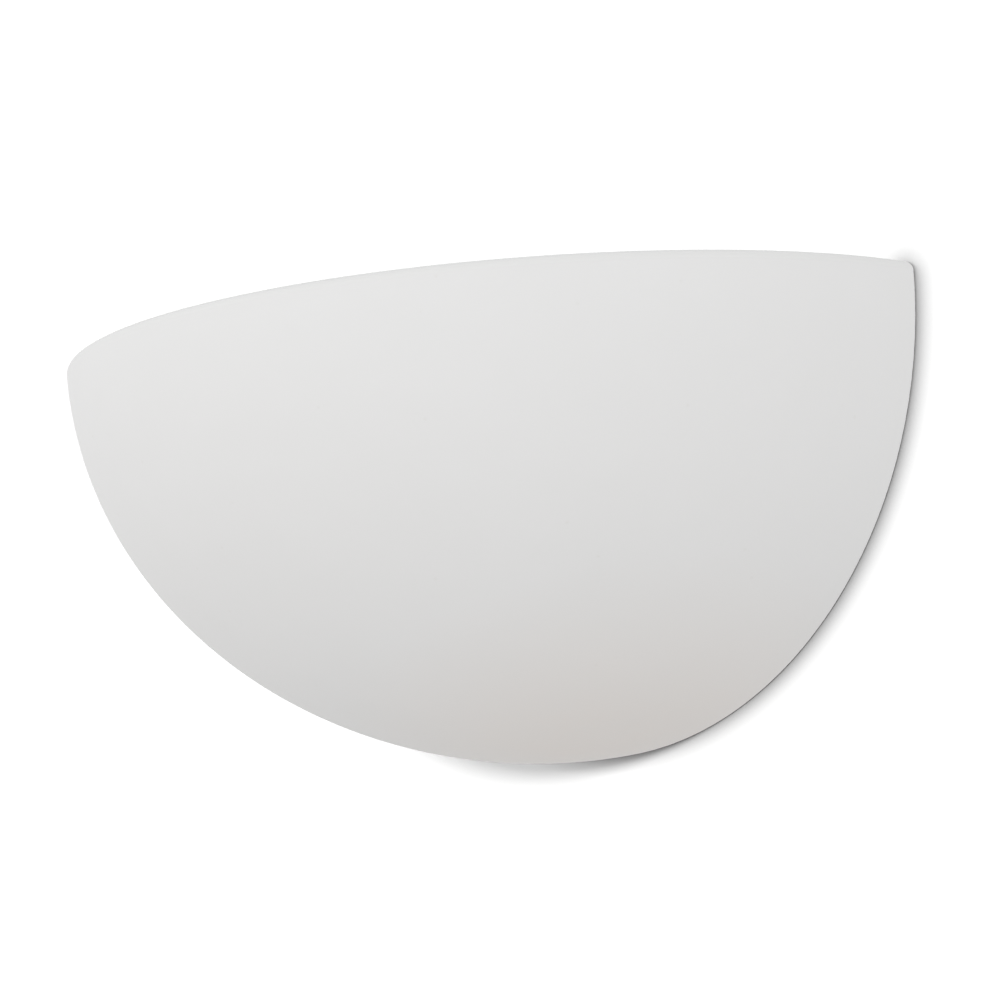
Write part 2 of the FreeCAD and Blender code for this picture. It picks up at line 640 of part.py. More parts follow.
# ================================================================ holder arm
def arm_gusset():
    """A thin web in the corner between the arm's foot and its leg."""
    overlap = SHEET / 2
    points = [
        vec(-overlap, overlap, 0), vec(ARM_GUSSET, overlap, 0), vec(ARM_GUSSET, 0, 0),
        vec(0, -ARM_GUSSET, 0), vec(-overlap, -ARM_GUSSET, 0),
    ]
    shape = Part.Face(Part.makePolygon(points + points[:1])).extrude(Z * SHEET)
    shape.translate(vec(HOLDER_BASE_X, ARM_FOOT_FRONT, -SHEET / 2))
    return shape


def holder_arm():
    """A bent strip: its foot on the bracket, its leg standing out behind the lampholder."""
    height = (-ARM_HALF_HEIGHT, ARM_HALF_HEIGHT)
    foot = box((ARM_BACK_X, ARM_FOOT_END_X), (ARM_FOOT_FRONT, FRONT_OF_WEB), height)
    leg = box((ARM_BACK_X, HOLDER_BASE_X), (ARM_NOSE_Y, FRONT_OF_WEB), height)
    arm = fuse([foot, leg])
    arm = rounded(
        arm, ARM_CORNER,
        lambda edge: (along(edge, X) and at(edge.CenterOfMass.y, ARM_NOSE_Y))
        or (along(edge, Y) and at(edge.CenterOfMass.x, ARM_FOOT_END_X)),
    )
    arm = rounded(
        arm, ARM_BEND_ROUND,
        lambda edge: along(edge, Z) and at(edge.CenterOfMass.x, ARM_BACK_X)
        and at(edge.CenterOfMass.y, FRONT_OF_WEB),
    )
    clip_tap = rod(
        M3_RADIUS + PLUNGE_WALL, vec(ARM_BACK_X, ARM_CLIP_Y, CLIP_HOLE), X, SHEET + PLUNGE_HEIGHT,
    )
    arm = fuse([arm, arm_gusset(), clip_tap])
    start = ARM_BACK_X - EPS
    deep = SHEET + PLUNGE_HEIGHT + 2 * EPS
    holes = [rod(M4_RADIUS + BORE_GAP, vec(x, ARM_FOOT_FRONT - EPS, 0), Y, deep) for x in ARM_SCREW_X]
    holes += [
        rod(M3_RADIUS + BORE_GAP, vec(start, LAMP_AXIS_Y + side * HOLDER_SCREW_OFFSET, LAMP_AXIS_Z), X, deep)
        for side in SIDES
    ]
    holes.append(rod(M3_RADIUS + BORE_GAP, vec(start, ARM_CLIP_Y, CLIP_HOLE), X, deep))
    holes.append(rod(ARM_LEAD_HOLE_RADIUS, vec(start, LAMP_AXIS_Y, LAMP_AXIS_Z), X, deep))
    return arm.cut(Part.makeCompound(holes))


def arm_screws():
    length = 2 * SHEET + M4_NUT_HEIGHT + SCREW_PAST_NUT
    return Part.makeCompound([
        pan_screw(vec(x, ARM_FOOT_FRONT, 0), Y, M4_RADIUS, length, M4_HEAD_RADIUS, M4_HEAD_HEIGHT)
        for x in ARM_SCREW_X
    ])


def hex_nut(x, z, front):
    """An M4 nut with its front face at y = front."""
    corner = M4_NUT_FLATS / 2 / math.cos(math.pi / 6)
    points = [
        vec(x + corner * math.cos(i * math.pi / 3), front, z + corner * math.sin(i * math.pi / 3))
        for i in range(6)
    ]
    prism = Part.Face(Part.makePolygon(points + points[:1])).extrude(Y * M4_NUT_HEIGHT)
    return prism.cut(rod(M4_RADIUS + BORE_GAP, vec(x, front - EPS, z), Y, M4_NUT_HEIGHT + 2 * EPS))


def arm_nuts():
    return Part.makeCompound([hex_nut(x, 0, BACK_OF_WEB) for x in ARM_SCREW_X])


# ================================================================ lampholder
def on_lamp_axis(x, above=0.0, towards_wall=0.0):
    """A point beside the lamp's axis."""
    return vec(x, LAMP_AXIS_Y + towards_wall, LAMP_AXIS_Z + above)


def lampholder_body():
    """Porcelain: base, groove and skirt outside; socket, wire recess and fixing holes inside."""
    edge = HOLDER_EDGE
    groove_end = HOLDER_BASE_LENGTH + HOLDER_GROOVE_LENGTH
    profile = [
        (0, WIRE_RECESS_RADIUS), (0, HOLDER_BASE_RADIUS - edge), (edge, HOLDER_BASE_RADIUS),
        (HOLDER_BASE_LENGTH, HOLDER_BASE_RADIUS), (HOLDER_BASE_LENGTH + edge, HOLDER_GROOVE_RADIUS),
        (groove_end - edge, HOLDER_GROOVE_RADIUS), (groove_end, HOLDER_SKIRT_RADIUS - edge),
        (groove_end + edge, HOLDER_SKIRT_RADIUS), (HOLDER_LENGTH - edge, HOLDER_SKIRT_RADIUS),
        (HOLDER_LENGTH, HOLDER_SKIRT_RADIUS - edge), (HOLDER_LENGTH, CAVITY_RADIUS),
        (HOLDER_FLOOR, CAVITY_RADIUS), (HOLDER_FLOOR, 0), (WIRE_RECESS_DEPTH, 0),
        (WIRE_RECESS_DEPTH, WIRE_RECESS_RADIUS),
    ]
    body = turned(profile, on_lamp_axis(HOLDER_BASE_X), X)
    holes = [
        rod(RIVET_RADIUS + BORE_GAP, on_lamp_axis(HOLDER_BASE_X, side * RIVET_OFFSET), X, HOLDER_FLOOR + EPS)
        for side in SIDES
    ]
    holes += [
        rod(
            M3_RADIUS + BORE_GAP, on_lamp_axis(HOLDER_BASE_X - EPS, 0, side * HOLDER_SCREW_OFFSET),
            X, HOLDER_SCREW_DEPTH + 2 * EPS,
        )
        for side in SIDES
    ]
    return body.cut(Part.makeCompound(holes))


def lampholder_shell():
    """Thin brass screw shell, with a tab across its floor for the lower rivet."""
    start = HOLDER_FLOOR_X
    length = SHELL_FRONT_X - start
    outer = SHELL_RADIUS + SHELL_THICKNESS
    profile = [
        (0, SHELL_FLOOR_HOLE), (0, outer), (length, outer), (length, SHELL_RADIUS),
        (SHELL_THICKNESS, SHELL_RADIUS), (SHELL_THICKNESS, SHELL_FLOOR_HOLE),
    ]
    half = TONGUE_WIDTH / 2
    tab = box(
        (start, start + SHELL_THICKNESS),
        (LAMP_AXIS_Y - half, LAMP_AXIS_Y + half),
        (LAMP_AXIS_Z - SHELL_FLOOR_HOLE - EPS, LAMP_AXIS_Z - RIVET_OFFSET + RIVET_HEAD_RADIUS),
    )
    hole = rod(RIVET_RADIUS + BORE_GAP, on_lamp_axis(start - EPS, -RIVET_OFFSET), X, 2 * EPS)
    return fuse([turned(profile, on_lamp_axis(start), X), tab]).cut(hole)


def centre_contact():
    """Sprung tongue: flat under the upper rivet, then bent out to press on the lamp's contact."""
    reach = LAMP_TIP_X - FACE_GAP - HOLDER_FLOOR_X
    thick = TONGUE_THICKNESS
    top = RIVET_OFFSET + RIVET_HEAD_RADIUS
    knee = RIVET_OFFSET - RIVET_HEAD_RADIUS
    crest = knee - reach / 2
    tip = -LAMP_CONTACT_RADIUS / 2
    outline = [
        (0, top), (0, knee), (reach - thick, crest), (reach - thick, tip),
        (reach, tip), (reach, crest + thick / 2), (thick, knee + thick / 2), (thick, top),
    ]
    points = [on_lamp_axis(HOLDER_FLOOR_X + x, z, -TONGUE_WIDTH / 2) for x, z in outline]
    strip = Part.Face(Part.makePolygon(points + points[:1])).extrude(Y * TONGUE_WIDTH)
    hole = rod(RIVET_RADIUS + BORE_GAP, on_lamp_axis(HOLDER_FLOOR_X - EPS, RIVET_OFFSET), X, 3 * EPS)
    return strip.cut(hole)


def contact_rivets():
    """Rivets through the porcelain: the upper holds the tongue, the lower the shell's tab."""
    rivets = []
    head = HOLDER_BASE_X + WIRE_RECESS_DEPTH
    for side, clamped in ((1, TONGUE_THICKNESS), (-1, SHELL_THICKNESS)):
        above = side * RIVET_OFFSET
        tail = HOLDER_FLOOR_X + clamped
        rivets.append(fuse([
            rod(RIVET_HEAD_RADIUS, on_lamp_axis(head, above), -X, RIVET_HEAD_HEIGHT),
            rod(RIVET_RADIUS, on_lamp_axis(head, above), X, tail - head),
            rod(RIVET_TAIL_RADIUS, on_lamp_axis(tail, above), X, RIVET_TAIL_HEIGHT),
        ]))
    return Part.makeCompound(rivets)


def holder_screws():
    length = SHEET + HOLDER_SCREW_DEPTH
    return Part.makeCompound([
        pan_screw(
            on_lamp_axis(ARM_BACK_X, 0, side * HOLDER_SCREW_OFFSET), X,
            M3_RADIUS, length, M3_HEAD_RADIUS, M3_HEAD_HEIGHT,
        )
        for side in SIDES
    ])


# ================================================================ lamp
def lamp_contact():
    disc = rod(LAMP_CONTACT_RADIUS, on_lamp_axis(LAMP_TIP_X), X, LAMP_CONTACT_HEIGHT)
    return rounded(disc, LAMP_CONTACT_ROUND, lambda edge: edge.Closed and at(edge.BoundBox.XMax, LAMP_TIP_X))


def lamp_insulator():
    """Black glass cone between the cap and its contact."""
    height = INSULATOR_HEIGHT
    profile = [(0, 0), (0, INSULATOR_TIP_RADIUS), (height, CAP_RADIUS - CAP_FOLD), (height, 0)]
    return turned(profile, on_lamp_axis(LAMP_TIP_X + LAMP_CONTACT_HEIGHT), X)


def lamp_cap():
    """Thin metal cup, closed by the insulator and open towards the glass."""
    inner = CAP_RADIUS - CAP_WALL
    profile = [
        (0, 0), (0, CAP_RADIUS - CAP_FOLD), (CAP_FOLD, CAP_RADIUS), (CAP_LENGTH, CAP_RADIUS),
        (CAP_LENGTH, inner), (CAP_FOLD, inner), (CAP_WALL, inner - CAP_FOLD), (CAP_WALL, 0),
    ]
    return turned(profile, on_lamp_axis(CAP_START_X), X)


def glass_line(inset):
    """Half outline of the glass, drawn inset from its outer surface: neck, swelling and dome."""
    neck_x = CAP_END_X
    flare_x = neck_x + GLASS_NECK_LENGTH
    ball_x = LAMP_END_X - LAMP_RADIUS
    swell = ball_x - flare_x
    neck = GLASS_NECK_RADIUS - inset
    flared = neck + GLASS_NECK_FLARE
    ball = LAMP_RADIUS - inset
    seal = on_lamp_axis(neck_x - GLASS_IN_CAP, neck)
    root = on_lamp_axis(neck_x, neck)
    flare = on_lamp_axis(flare_x, flared)
    widest = on_lamp_axis(ball_x, ball)
    near_neck = GLASS_HOLD_NECK * swell
    near_ball = GLASS_HOLD_BALL * swell
    swelling = Part.BezierCurve()
    swelling.setPoles([
        flare, on_lamp_axis(flare_x + near_neck, flared + near_neck * GLASS_NECK_FLARE / GLASS_NECK_LENGTH),
        on_lamp_axis(ball_x - near_ball, ball), widest,
    ])
    dome_middle = on_lamp_axis(ball_x + ball * math.sin(math.pi / 4), ball * math.cos(math.pi / 4))
    tip = on_lamp_axis(ball_x + ball)
    curves = [
        Part.LineSegment(seal, root), Part.LineSegment(root, flare), swelling,
        Part.Arc(widest, dome_middle, tip),
    ]
    return curves, seal, tip


def lamp_glass():
    """Frosted A60 bulb, hollow, its neck sealed into the cap."""
    outer, outer_seal, outer_tip = glass_line(0)
    inner, inner_seal, inner_tip = glass_line(GLASS_WALL)
    joins = [Part.LineSegment(outer_seal, inner_seal), Part.LineSegment(outer_tip, inner_tip)]
    edges = [curve.toShape() for curve in outer + inner + joins]
    face = Part.Face(Part.Wire(Part.__sortEdges__(edges)))
    return face.revolve(on_lamp_axis(0), X, 360)


# ================================================================ terminal block
def terminal_block():
    """Three towers on a common base, with wire bores along Z and screw wells from the front."""
    base_front = FRONT_OF_WEB - BLOCK_BASE
    front = FRONT_OF_WEB - BLOCK_DEPTH
    base = box((BLOCK_LEFT, BLOCK_RIGHT), (base_front, FRONT_OF_WEB), (BLOCK_BOTTOM, BLOCK_TOP))
    shapes = [rounded(base, BLOCK_CORNER, lambda edge: along(edge, Y))]
    for x in POLE_X:
        half = TOWER_WIDTH / 2
        low_high = (BLOCK_BOTTOM + TOWER_SETBACK, BLOCK_TOP - TOWER_SETBACK)
        tower = box((x - half, x + half), (front, base_front), low_high)
        shapes.append(rounded(tower, TOWER_CORNER, lambda edge: along(edge, Y)))
    tools = []
    insert_hole = INSERT_RADIUS + BORE_GAP
    for x in POLE_X:
        tools.append(rod(WIRE_HOLE_RADIUS, vec(x, WIRE_Y, BLOCK_BOTTOM - EPS), Z, BLOCK_HEIGHT + 2 * EPS))
        tools.append(rod(insert_hole, insert_start(x), Z, INSERT_LENGTH))
        tools += [rod(CLAMP_WELL_RADIUS, place, -Y, BLOCK_DEPTH) for place in clamp_screw_places(x)]
    screw = vec(BLOCK_SCREW_X, base_front, BLOCK_ABOVE_CENTRE)
    tools.append(rod(M3_RADIUS + BORE_GAP, screw - Y * EPS, Y, BLOCK_BASE + 2 * EPS))
    tools.append(rod(M3_HEAD_RADIUS + FACE_GAP, screw, -Y, BLOCK_DEPTH))
    return fuse(shapes).cut(fuse(tools))


def insert_start(x):
    """Lower end of the brass insert in the pole at x."""
    return vec(x, WIRE_Y, BLOCK_ABOVE_CENTRE - INSERT_LENGTH / 2)


def clamp_screw_places(x):
    """Where the two clamp screws of the pole at x cross its wire bore."""
    return [vec(x, WIRE_Y, BLOCK_ABOVE_CENTRE + side * CLAMP_SCREW_SPREAD) for side in SIDES]


def terminal_inserts():
    inserts = []
    for x in POLE_X:
        tools = [rod(INSERT_BORE_RADIUS, insert_start(x) - Z * EPS, Z, INSERT_LENGTH + 2 * EPS)]
        tools += [
            rod(CLAMP_SCREW_RADIUS + BORE_GAP, place, -Y, BLOCK_DEPTH) for place in clamp_screw_places(x)
        ]
        inserts.append(rod(INSERT_RADIUS, insert_start(x), Z, INSERT_LENGTH).cut(fuse(tools)))
    return Part.makeCompound(inserts)


def terminal_screws():
    """Two clamp screws in each pole, pressing on the wire."""
    above_wire = Y * (CORE_RADIUS + BORE_GAP)
    return Part.makeCompound([
        rod(CLAMP_SCREW_RADIUS, place - above_wire, -Y, CLAMP_SCREW_LENGTH)
        for x in POLE_X
        for place in clamp_screw_places(x)
    ])


def block_screw():
    seat = vec(BLOCK_SCREW_X, FRONT_OF_WEB - BLOCK_BASE, BLOCK_ABOVE_CENTRE)
    length = BLOCK_BASE + SHEET + SCREW_PAST_SHEET
    return pan_screw(seat, Y, M3_RADIUS, length, M3_HEAD_RADIUS, M3_HEAD_HEIGHT)


# ================================================================ earth connection
def earth_stack():
    """Y of the front of the ring terminal, of the washer and of the nut on the earth stud."""
    ring = FRONT_OF_WEB - RING_THICKNESS
    washer = ring - EARTH_WASHER_THICKNESS
    return ring, washer, washer - M4_NUT_HEIGHT


def earth_stud():
    length = BACK_OF_WEB - earth_stack()[2] + EARTH_STUD_PAST_NUT
    return clinched_stud(EARTH_X, EARTH_Z, BACK_OF_WEB, length)


def earth_ring_terminal():
    """Crimped ring on the earth stud, its barrel pointing right."""
    front = earth_stack()[0]
    barrel_start = vec(RING_BARREL_X, FRONT_OF_WEB - RING_BARREL_RADIUS, EARTH_Z)
    ring = rod(RING_RADIUS, vec(EARTH_X, FRONT_OF_WEB, EARTH_Z), -Y, RING_THICKNESS)
    half = RING_BARREL_RADIUS
    neck = box((EARTH_X, RING_BARREL_X + EPS), (front, FRONT_OF_WEB), (EARTH_Z - half, EARTH_Z + half))
    barrel = rod(half, barrel_start, X, RING_BARREL_LENGTH)
    holes = [
        rod(M4_RADIUS + BORE_GAP, vec(EARTH_X, FRONT_OF_WEB + EPS, EARTH_Z), -Y, RING_THICKNESS + 2 * EPS),
        rod(CORE_RADIUS + BORE_GAP, barrel_start - X * FACE_GAP, X, RING_BARREL_LENGTH + 2 * FACE_GAP),
    ]
    return fuse([ring, neck, barrel]).cut(Part.makeCompound(holes))


def earth_nut():
    """Plain washer and nut that clamp the ring terminal."""
    ring, washer_front, nut_front = earth_stack()
    washer = rod(EARTH_WASHER_RADIUS, vec(EARTH_X, ring, EARTH_Z), -Y, EARTH_WASHER_THICKNESS)
    hole = rod(M4_RADIUS + BORE_GAP, vec(EARTH_X, ring + EPS, EARTH_Z), -Y, EARTH_WASHER_THICKNESS + 2 * EPS)
    return Part.makeCompound([washer.cut(hole), hex_nut(EARTH_X, EARTH_Z, nut_front)])


# ================================================================ lead clips
def set_on(shape, origin, out, ear):
    """Moves a shape drawn on the XY plane so that Z becomes out and Y becomes ear."""
    turn = FreeCAD.Rotation(ear.cross(out), ear, out, "ZYX")
    shape.Placement = FreeCAD.Placement(origin, turn)
    return shape


def clip_places():
    """Origin, outward direction and ear direction of the clip on the arm and the one on the bracket."""
    return [
        (vec(ARM_BACK_X, ARM_CLIP_Y, 0), -X, Z),
        (vec(WEB_CLIP_X, FRONT_OF_WEB, WEB_CLIP_Z), -Y, Z),
    ]


def lead_clip():
    """Nylon saddle over two leads that run along X, with one screw ear towards +Y."""
    half = CLIP_WIDTH / 2
    inner_height = 2 * LEAD_RADIUS + CLIP_FIT
    outer_height = inner_height + CLIP_WALL
    saddle = box((-half, half), (-CLIP_OUTSIDE, CLIP_OUTSIDE), (0, outer_height))
    saddle = rounded(
        saddle, CLIP_CORNER + CLIP_WALL,
        lambda edge: along(edge, X) and at(edge.CenterOfMass.z, outer_height),
    )
    hollow = box((-CLIP_WIDTH, CLIP_WIDTH), (-CLIP_INSIDE, CLIP_INSIDE), (-EPS, inner_height))
    hollow = rounded(
        hollow, CLIP_CORNER, lambda edge: along(edge, X) and at(edge.CenterOfMass.z, inner_height),
    )
    ear_end = CLIP_OUTSIDE + CLIP_EAR_LENGTH
    ear = box((-half, half), (CLIP_INSIDE + CLIP_WALL / 2, ear_end), (0, CLIP_EAR_THICKNESS))
    ear = rounded(
        ear, half - FACE_GAP, lambda edge: along(edge, Z) and at(edge.CenterOfMass.y, ear_end),
    )
    hole = rod(M3_RADIUS + BORE_GAP, vec(0, CLIP_HOLE, -EPS), Z, CLIP_EAR_THICKNESS + 2 * EPS)
    return fuse([saddle, ear]).cut(hollow).cut(hole)


def lead_clips():
    return Part.makeCompound([set_on(lead_clip(), *place) for place in clip_places()])


def clip_screws():
    length = CLIP_EAR_THICKNESS + SHEET + SCREW_PAST_SHEET
    seat = vec(0, CLIP_HOLE, CLIP_EAR_THICKNESS)
    screws = []
    for place in clip_places():
        screw = pan_screw(seat, -Z, M3_RADIUS, length, M3_HEAD_RADIUS, M3_HEAD_HEIGHT)
        screws.append(set_on(screw, *place))
    return Part.makeCompound(screws)


# ================================================================ the assembly
SUB_PARTS = {
    "ceramic_bowl": ceramic_bowl,
    "wall_bracket": wall_bracket,
    "cable_grommet": cable_grommet,
    "right_hanging_stud": hanging_stud,
    "left_hanging_stud": lambda: mirrored(hanging_stud()),
    "right_fibre_washer": fibre_washer,
    "left_fibre_washer": lambda: mirrored(fibre_washer()),
    "right_thumb_nut": thumb_nut,
    "left_thumb_nut": lambda: mirrored(thumb_nut()),
    "holder_arm": holder_arm,
    "arm_screws": arm_screws,
    "arm_nuts": arm_nuts,
    "lampholder_body": lampholder_body,
    "lampholder_shell": lampholder_shell,
    "centre_contact": centre_contact,
    "contact_rivets": contact_rivets,
    "holder_screws": holder_screws,
    "lamp_glass": lamp_glass,
    "lamp_cap": lamp_cap,
    "lamp_insulator": lamp_insulator,
    "lamp_contact": lamp_contact,
    "terminal_block": terminal_block,
    "terminal_inserts": terminal_inserts,
    "terminal_screws": terminal_screws,
    "block_screw": block_screw,
    "earth_stud": earth_stud,
    "earth_ring_terminal": earth_ring_terminal,
    "earth_nut": earth_nut,
    "live_lead": lambda: lead("live_lead", lead_route(LIVE_LEGS, 1, 1), [-1]),
    "neutral_lead": lambda: lead("neutral_lead", lead_route(NEUTRAL_LEGS, -1, 2), [-1]),
    "earth_lead": lambda: lead("earth_lead", lead_route(EARTH_LEGS, 0, 0), [0, -1]),
    "lead_clips": lead_clips,
    "clip_screws": clip_screws,
}


def build():
    os.makedirs("parts", exist_ok=True)
    for name, make in SUB_PARTS.items():
        shape = make()
        if not shape.isValid() or not shape.Solids:
            raise ValueError(f"{name} is not a valid solid")
        print(f"{name}: {len(shape.Solids)} solids, {shape.Volume / 1000:.3f} cm3")
        shape.exportStep(f"parts/{name}.step")


build()
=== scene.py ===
"""Finishes for a half-bowl uplighter wall sconce, laid out as a Blender add-on and run as a script.

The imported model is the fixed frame. Its bowl, pressed steel, contacts, glass and plastic pieces get their
finishes here, and its studs, screws, nuts, lampholder, lamp cap and leads are modelled anew in detail.
Metres, in the model's own frame: +X right and +Z up seen from the room, the wall on the plane y = 0.
"""

import math

import bmesh
import bpy
from mathutils import Matrix, Vector


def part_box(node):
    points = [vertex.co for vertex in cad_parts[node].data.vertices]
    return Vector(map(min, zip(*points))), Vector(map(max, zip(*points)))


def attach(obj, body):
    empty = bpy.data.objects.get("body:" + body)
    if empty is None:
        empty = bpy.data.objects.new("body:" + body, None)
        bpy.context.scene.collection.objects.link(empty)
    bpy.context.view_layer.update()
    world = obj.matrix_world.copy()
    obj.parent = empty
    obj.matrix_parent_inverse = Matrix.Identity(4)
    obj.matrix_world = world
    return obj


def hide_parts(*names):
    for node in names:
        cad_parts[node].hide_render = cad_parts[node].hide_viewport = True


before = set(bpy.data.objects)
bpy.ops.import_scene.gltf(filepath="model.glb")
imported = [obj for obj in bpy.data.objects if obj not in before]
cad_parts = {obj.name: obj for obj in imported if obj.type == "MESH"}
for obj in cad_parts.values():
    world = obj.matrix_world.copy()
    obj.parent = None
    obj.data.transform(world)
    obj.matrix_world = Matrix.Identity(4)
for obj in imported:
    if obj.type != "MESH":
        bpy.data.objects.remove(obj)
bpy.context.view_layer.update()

bl_info = {
    "name": "Half-bowl wall sconce",
    "version": (1, 0, 0),
    "blender": (4, 5, 0),
    "location": "3D View > Sidebar > Sconce",
    "description": "Finishes, fasteners, leads and stage of a ceramic uplighter wall sconce",
    "category": "Object",
}

MM = 0.001
X = Vector((1, 0, 0))
Y = Vector((0, 1, 0))
Z = Vector((0, 0, 1))
ORIGIN = (0.0, 0.0, 0.0)
WHITE = (1.0, 1.0, 1.0, 1.0)

# places in the frame, in metres
BACK_OF_WEB = -0.006
FRONT_OF_WEB = -0.0075
ARM_FRONT = -0.009
ARM_BACK_X = -0.0635
ARM_SCREWS_X = (-0.026, -0.038)
LAMP_AXIS_Y = -0.072
HOLDER_SCREWS_APART = 0.026
HOLDER_FLOOR_X = -0.050
HOLDER_BARE_X = (-0.0612, -0.0606)
WIRE_Y = -0.0125
BLOCK_SCREW = (0.025, -0.0155, 0.006)
CLIP_EAR = 1.6 * MM
ARM_CLIP_SCREW = (ARM_BACK_X - CLIP_EAR, -0.036, 0.0074)
WEB_CLIP_SCREW = (-0.024, FRONT_OF_WEB - CLIP_EAR, -0.01845)
# painted shade: heights over which the rim's rounded top turns darker
PAINTED_RIM_SHADE_Z = (0.0470, 0.0485)
# painted light: where warm bounce light from below is painted on the bowl's down-facing faces
PAINTED_BOUNCE_CENTRE = (0.060, -0.040, -0.085)
PAINTED_BOUNCE_REACH = (0.020, 0.085)
WALL_GAP = 0.05 * MM

# fasteners
M4_RADIUS = 2 * MM
M3_RADIUS = 1.5 * MM
STUD_HEAD = 0.8 * MM
NUT_HEIGHT = 3 * MM
CORE_REACH = 7 * MM
CORE_ACROSS = 0.6 * MM

# centre lines of the leads, from the lampholder or the earth stud to the terminal block, in millimetres
LIVE_ROUTE = [
    (-59, -72, 5.5), (-66, -72, 5.5), (-71.6, -68.8, 5.3), (-74.6, -62.4, 4.6), (-73.1, -54, 3.2),
    (-64.8, -45, 1.35), (-64.8, -28, 1.35), (-67.6, -19.4, -4.8), (-65.6, -12.8, -12.6),
    (-58.3, -9.5, -19), (-46.5, -8.8, -23.3), (-33, -8.8, -24.5), (-14, -8.8, -24.5), (3, -9.7, -24.7),
    (18.5, -12, -24.4), (26.2, -12.5, -20.2), (30, -12.5, -13), (30, -12.5, -2),
]
NEUTRAL_ROUTE = [
    (-59, -72, -5.5), (-66, -72, -5.5), (-71.9, -69, -5.3), (-75.1, -62.7, -4.7), (-73.4, -54.1, -3.2),
    (-64.8, -45, -1.35), (-64.8, -28, -1.35), (-68.5, -20.4, -8), (-66.7, -13.6, -15.8),
    (-59.4, -9.8, -22.4), (-47, -8.8, -26.4), (-33, -8.8, -27.2), (-14, -8.8, -27.2), (4, -9.8, -27.6),
    (26.5, -12, -27.4), (35, -12.5, -23.2), (40, -12.5, -15), (40, -12.5, -2),
]
EARTH_ROUTE = [
    (7, -9.2, -18), (11.5, -9.2, -18), (17, -10.6, -14.8), (20, -12.5, -8.5), (20, -12.5, -2),
]


# ---- sizes and colours a user may change
def number(name, description, value, **kind):
    return bpy.props.FloatProperty(name=name, description=description, default=value, **kind)


def colour(name, description, value):
    return bpy.props.FloatVectorProperty(
        name=name, description=description, subtype="COLOR", size=4, min=0, max=1, default=(*value, 1.0),
    )


def length(name, description, value):
    return number(name, description, value, subtype="DISTANCE", unit="LENGTH", min=0, precision=5)


def share(name, description, value):
    return number(name, description, value, subtype="FACTOR", min=0, max=1)


def strength(name, description, value):
    return number(name, description, value, min=0)


def angle(name, description, degrees):
    return number(name, description, math.radians(degrees), subtype="ANGLE")


class CeramicSettings(bpy.types.PropertyGroup):
    body: colour("Body", "Matt fired clay body", (0.825, 0.825, 0.825))
    cloud: colour("Cloud", "Slightly greyer tone that drifts through the body", (0.795, 0.795, 0.79))
    # painted light: warm bounce light from below, painted on the bowl's down-facing faces low on the right
    painted_bounce_light: colour("Blush", "Warmer tone low on the bowl's right side", (0.815, 0.775, 0.745))
    # painted shade: the darker tone on the rim's rounded top stands in for the edge turning from the light
    rim: colour("Rim", "Tone of the sponged rim", (0.785, 0.785, 0.78))
    speck: colour("Speck", "Specks in the clay", (0.70, 0.68, 0.65))
    # how strongly the painted warm bounce light shows
    cloudiness: share("Cloudiness", "How strongly the body's tone drifts", 0.30)
    painted_bounce_strength: share("Blushing", "How strongly the blush shows", 0.85)
    specks: share("Specks", "How strongly the specks show", 0.18)
    roughness: share("Roughness", "Roughness of the unglazed surface", 0.85)
    grain: length("Grain", "Depth of the sponged grain", 0.00003)


class SteelSettings(bpy.types.PropertyGroup):
    sheet: colour("Sheet", "Bright zinc plate on the pressed steel", (0.60, 0.61, 0.62))
    tint: colour("Passivation", "Tint of the thin passivation film", (0.55, 0.60, 0.66))
    screw: colour("Fasteners", "Zinc plate on screws, nuts and studs", (0.66, 0.67, 0.67))
    roughness: share("Roughness", "Roughness of the plated sheet", 0.36)
    streaks: share("Rolling streaks", "How strongly the rolling direction shows", 0.35)


class BrassSettings(bpy.types.PropertyGroup):
    turned: colour("Turned brass", "Bright turned brass of the thumb nuts", (0.80, 0.58, 0.26))
    contact: colour("Contact brass", "Duller pressed brass of the contacts", (0.70, 0.52, 0.27))
    tarnish: colour("Tarnish", "Tone of the cloudy tarnish", (0.33, 0.21, 0.10))
    roughness: share("Roughness", "Roughness of the turned faces", 0.24)


class ThreadSettings(bpy.types.PropertyGroup):
    stud_pitch: length("Stud pitch", "Pitch of the hanging studs, earth stud and arm screws", 0.0007)
    small_pitch: length("Small pitch", "Pitch of the small screws", 0.0005)
    lamp_pitch: length("Lamp pitch", "Pitch of the lamp's rolled thread", 0.00362)
    lamp_depth: length("Lamp thread depth", "Depth of the lamp's rolled thread", 0.0009)


class PorcelainSettings(bpy.types.PropertyGroup):
    glaze: colour("Glaze", "Clear-glazed porcelain of the lampholder", (0.84, 0.835, 0.81))
    bare: colour("Bare body", "Unglazed porcelain where the holder stood in the kiln", (0.74, 0.71, 0.66))


class LampSettings(bpy.types.PropertyGroup):
    glass: colour("Glass", "Frosted glass of the lamp", (0.93, 0.93, 0.92))
    cap: colour("Cap", "Nickel-plated cap", (0.72, 0.70, 0.66))
    insulator: colour("Insulator", "Black glass of the cap's end", (0.012, 0.012, 0.014))
    solder: colour("Solder", "Solder of the end contact", (0.52, 0.52, 0.53))


class PlasticSettings(bpy.types.PropertyGroup):
    terminal: colour("Terminal block", "Off-white polyamide", (0.78, 0.765, 0.71))
    clip: colour("Lead clips", "Natural nylon", (0.74, 0.73, 0.67))
    rubber: colour("Grommet", "Black rubber", (0.018, 0.018, 0.019))
    fibre: colour("Fibre washers", "Vulcanised fibre", (0.33, 0.085, 0.045))


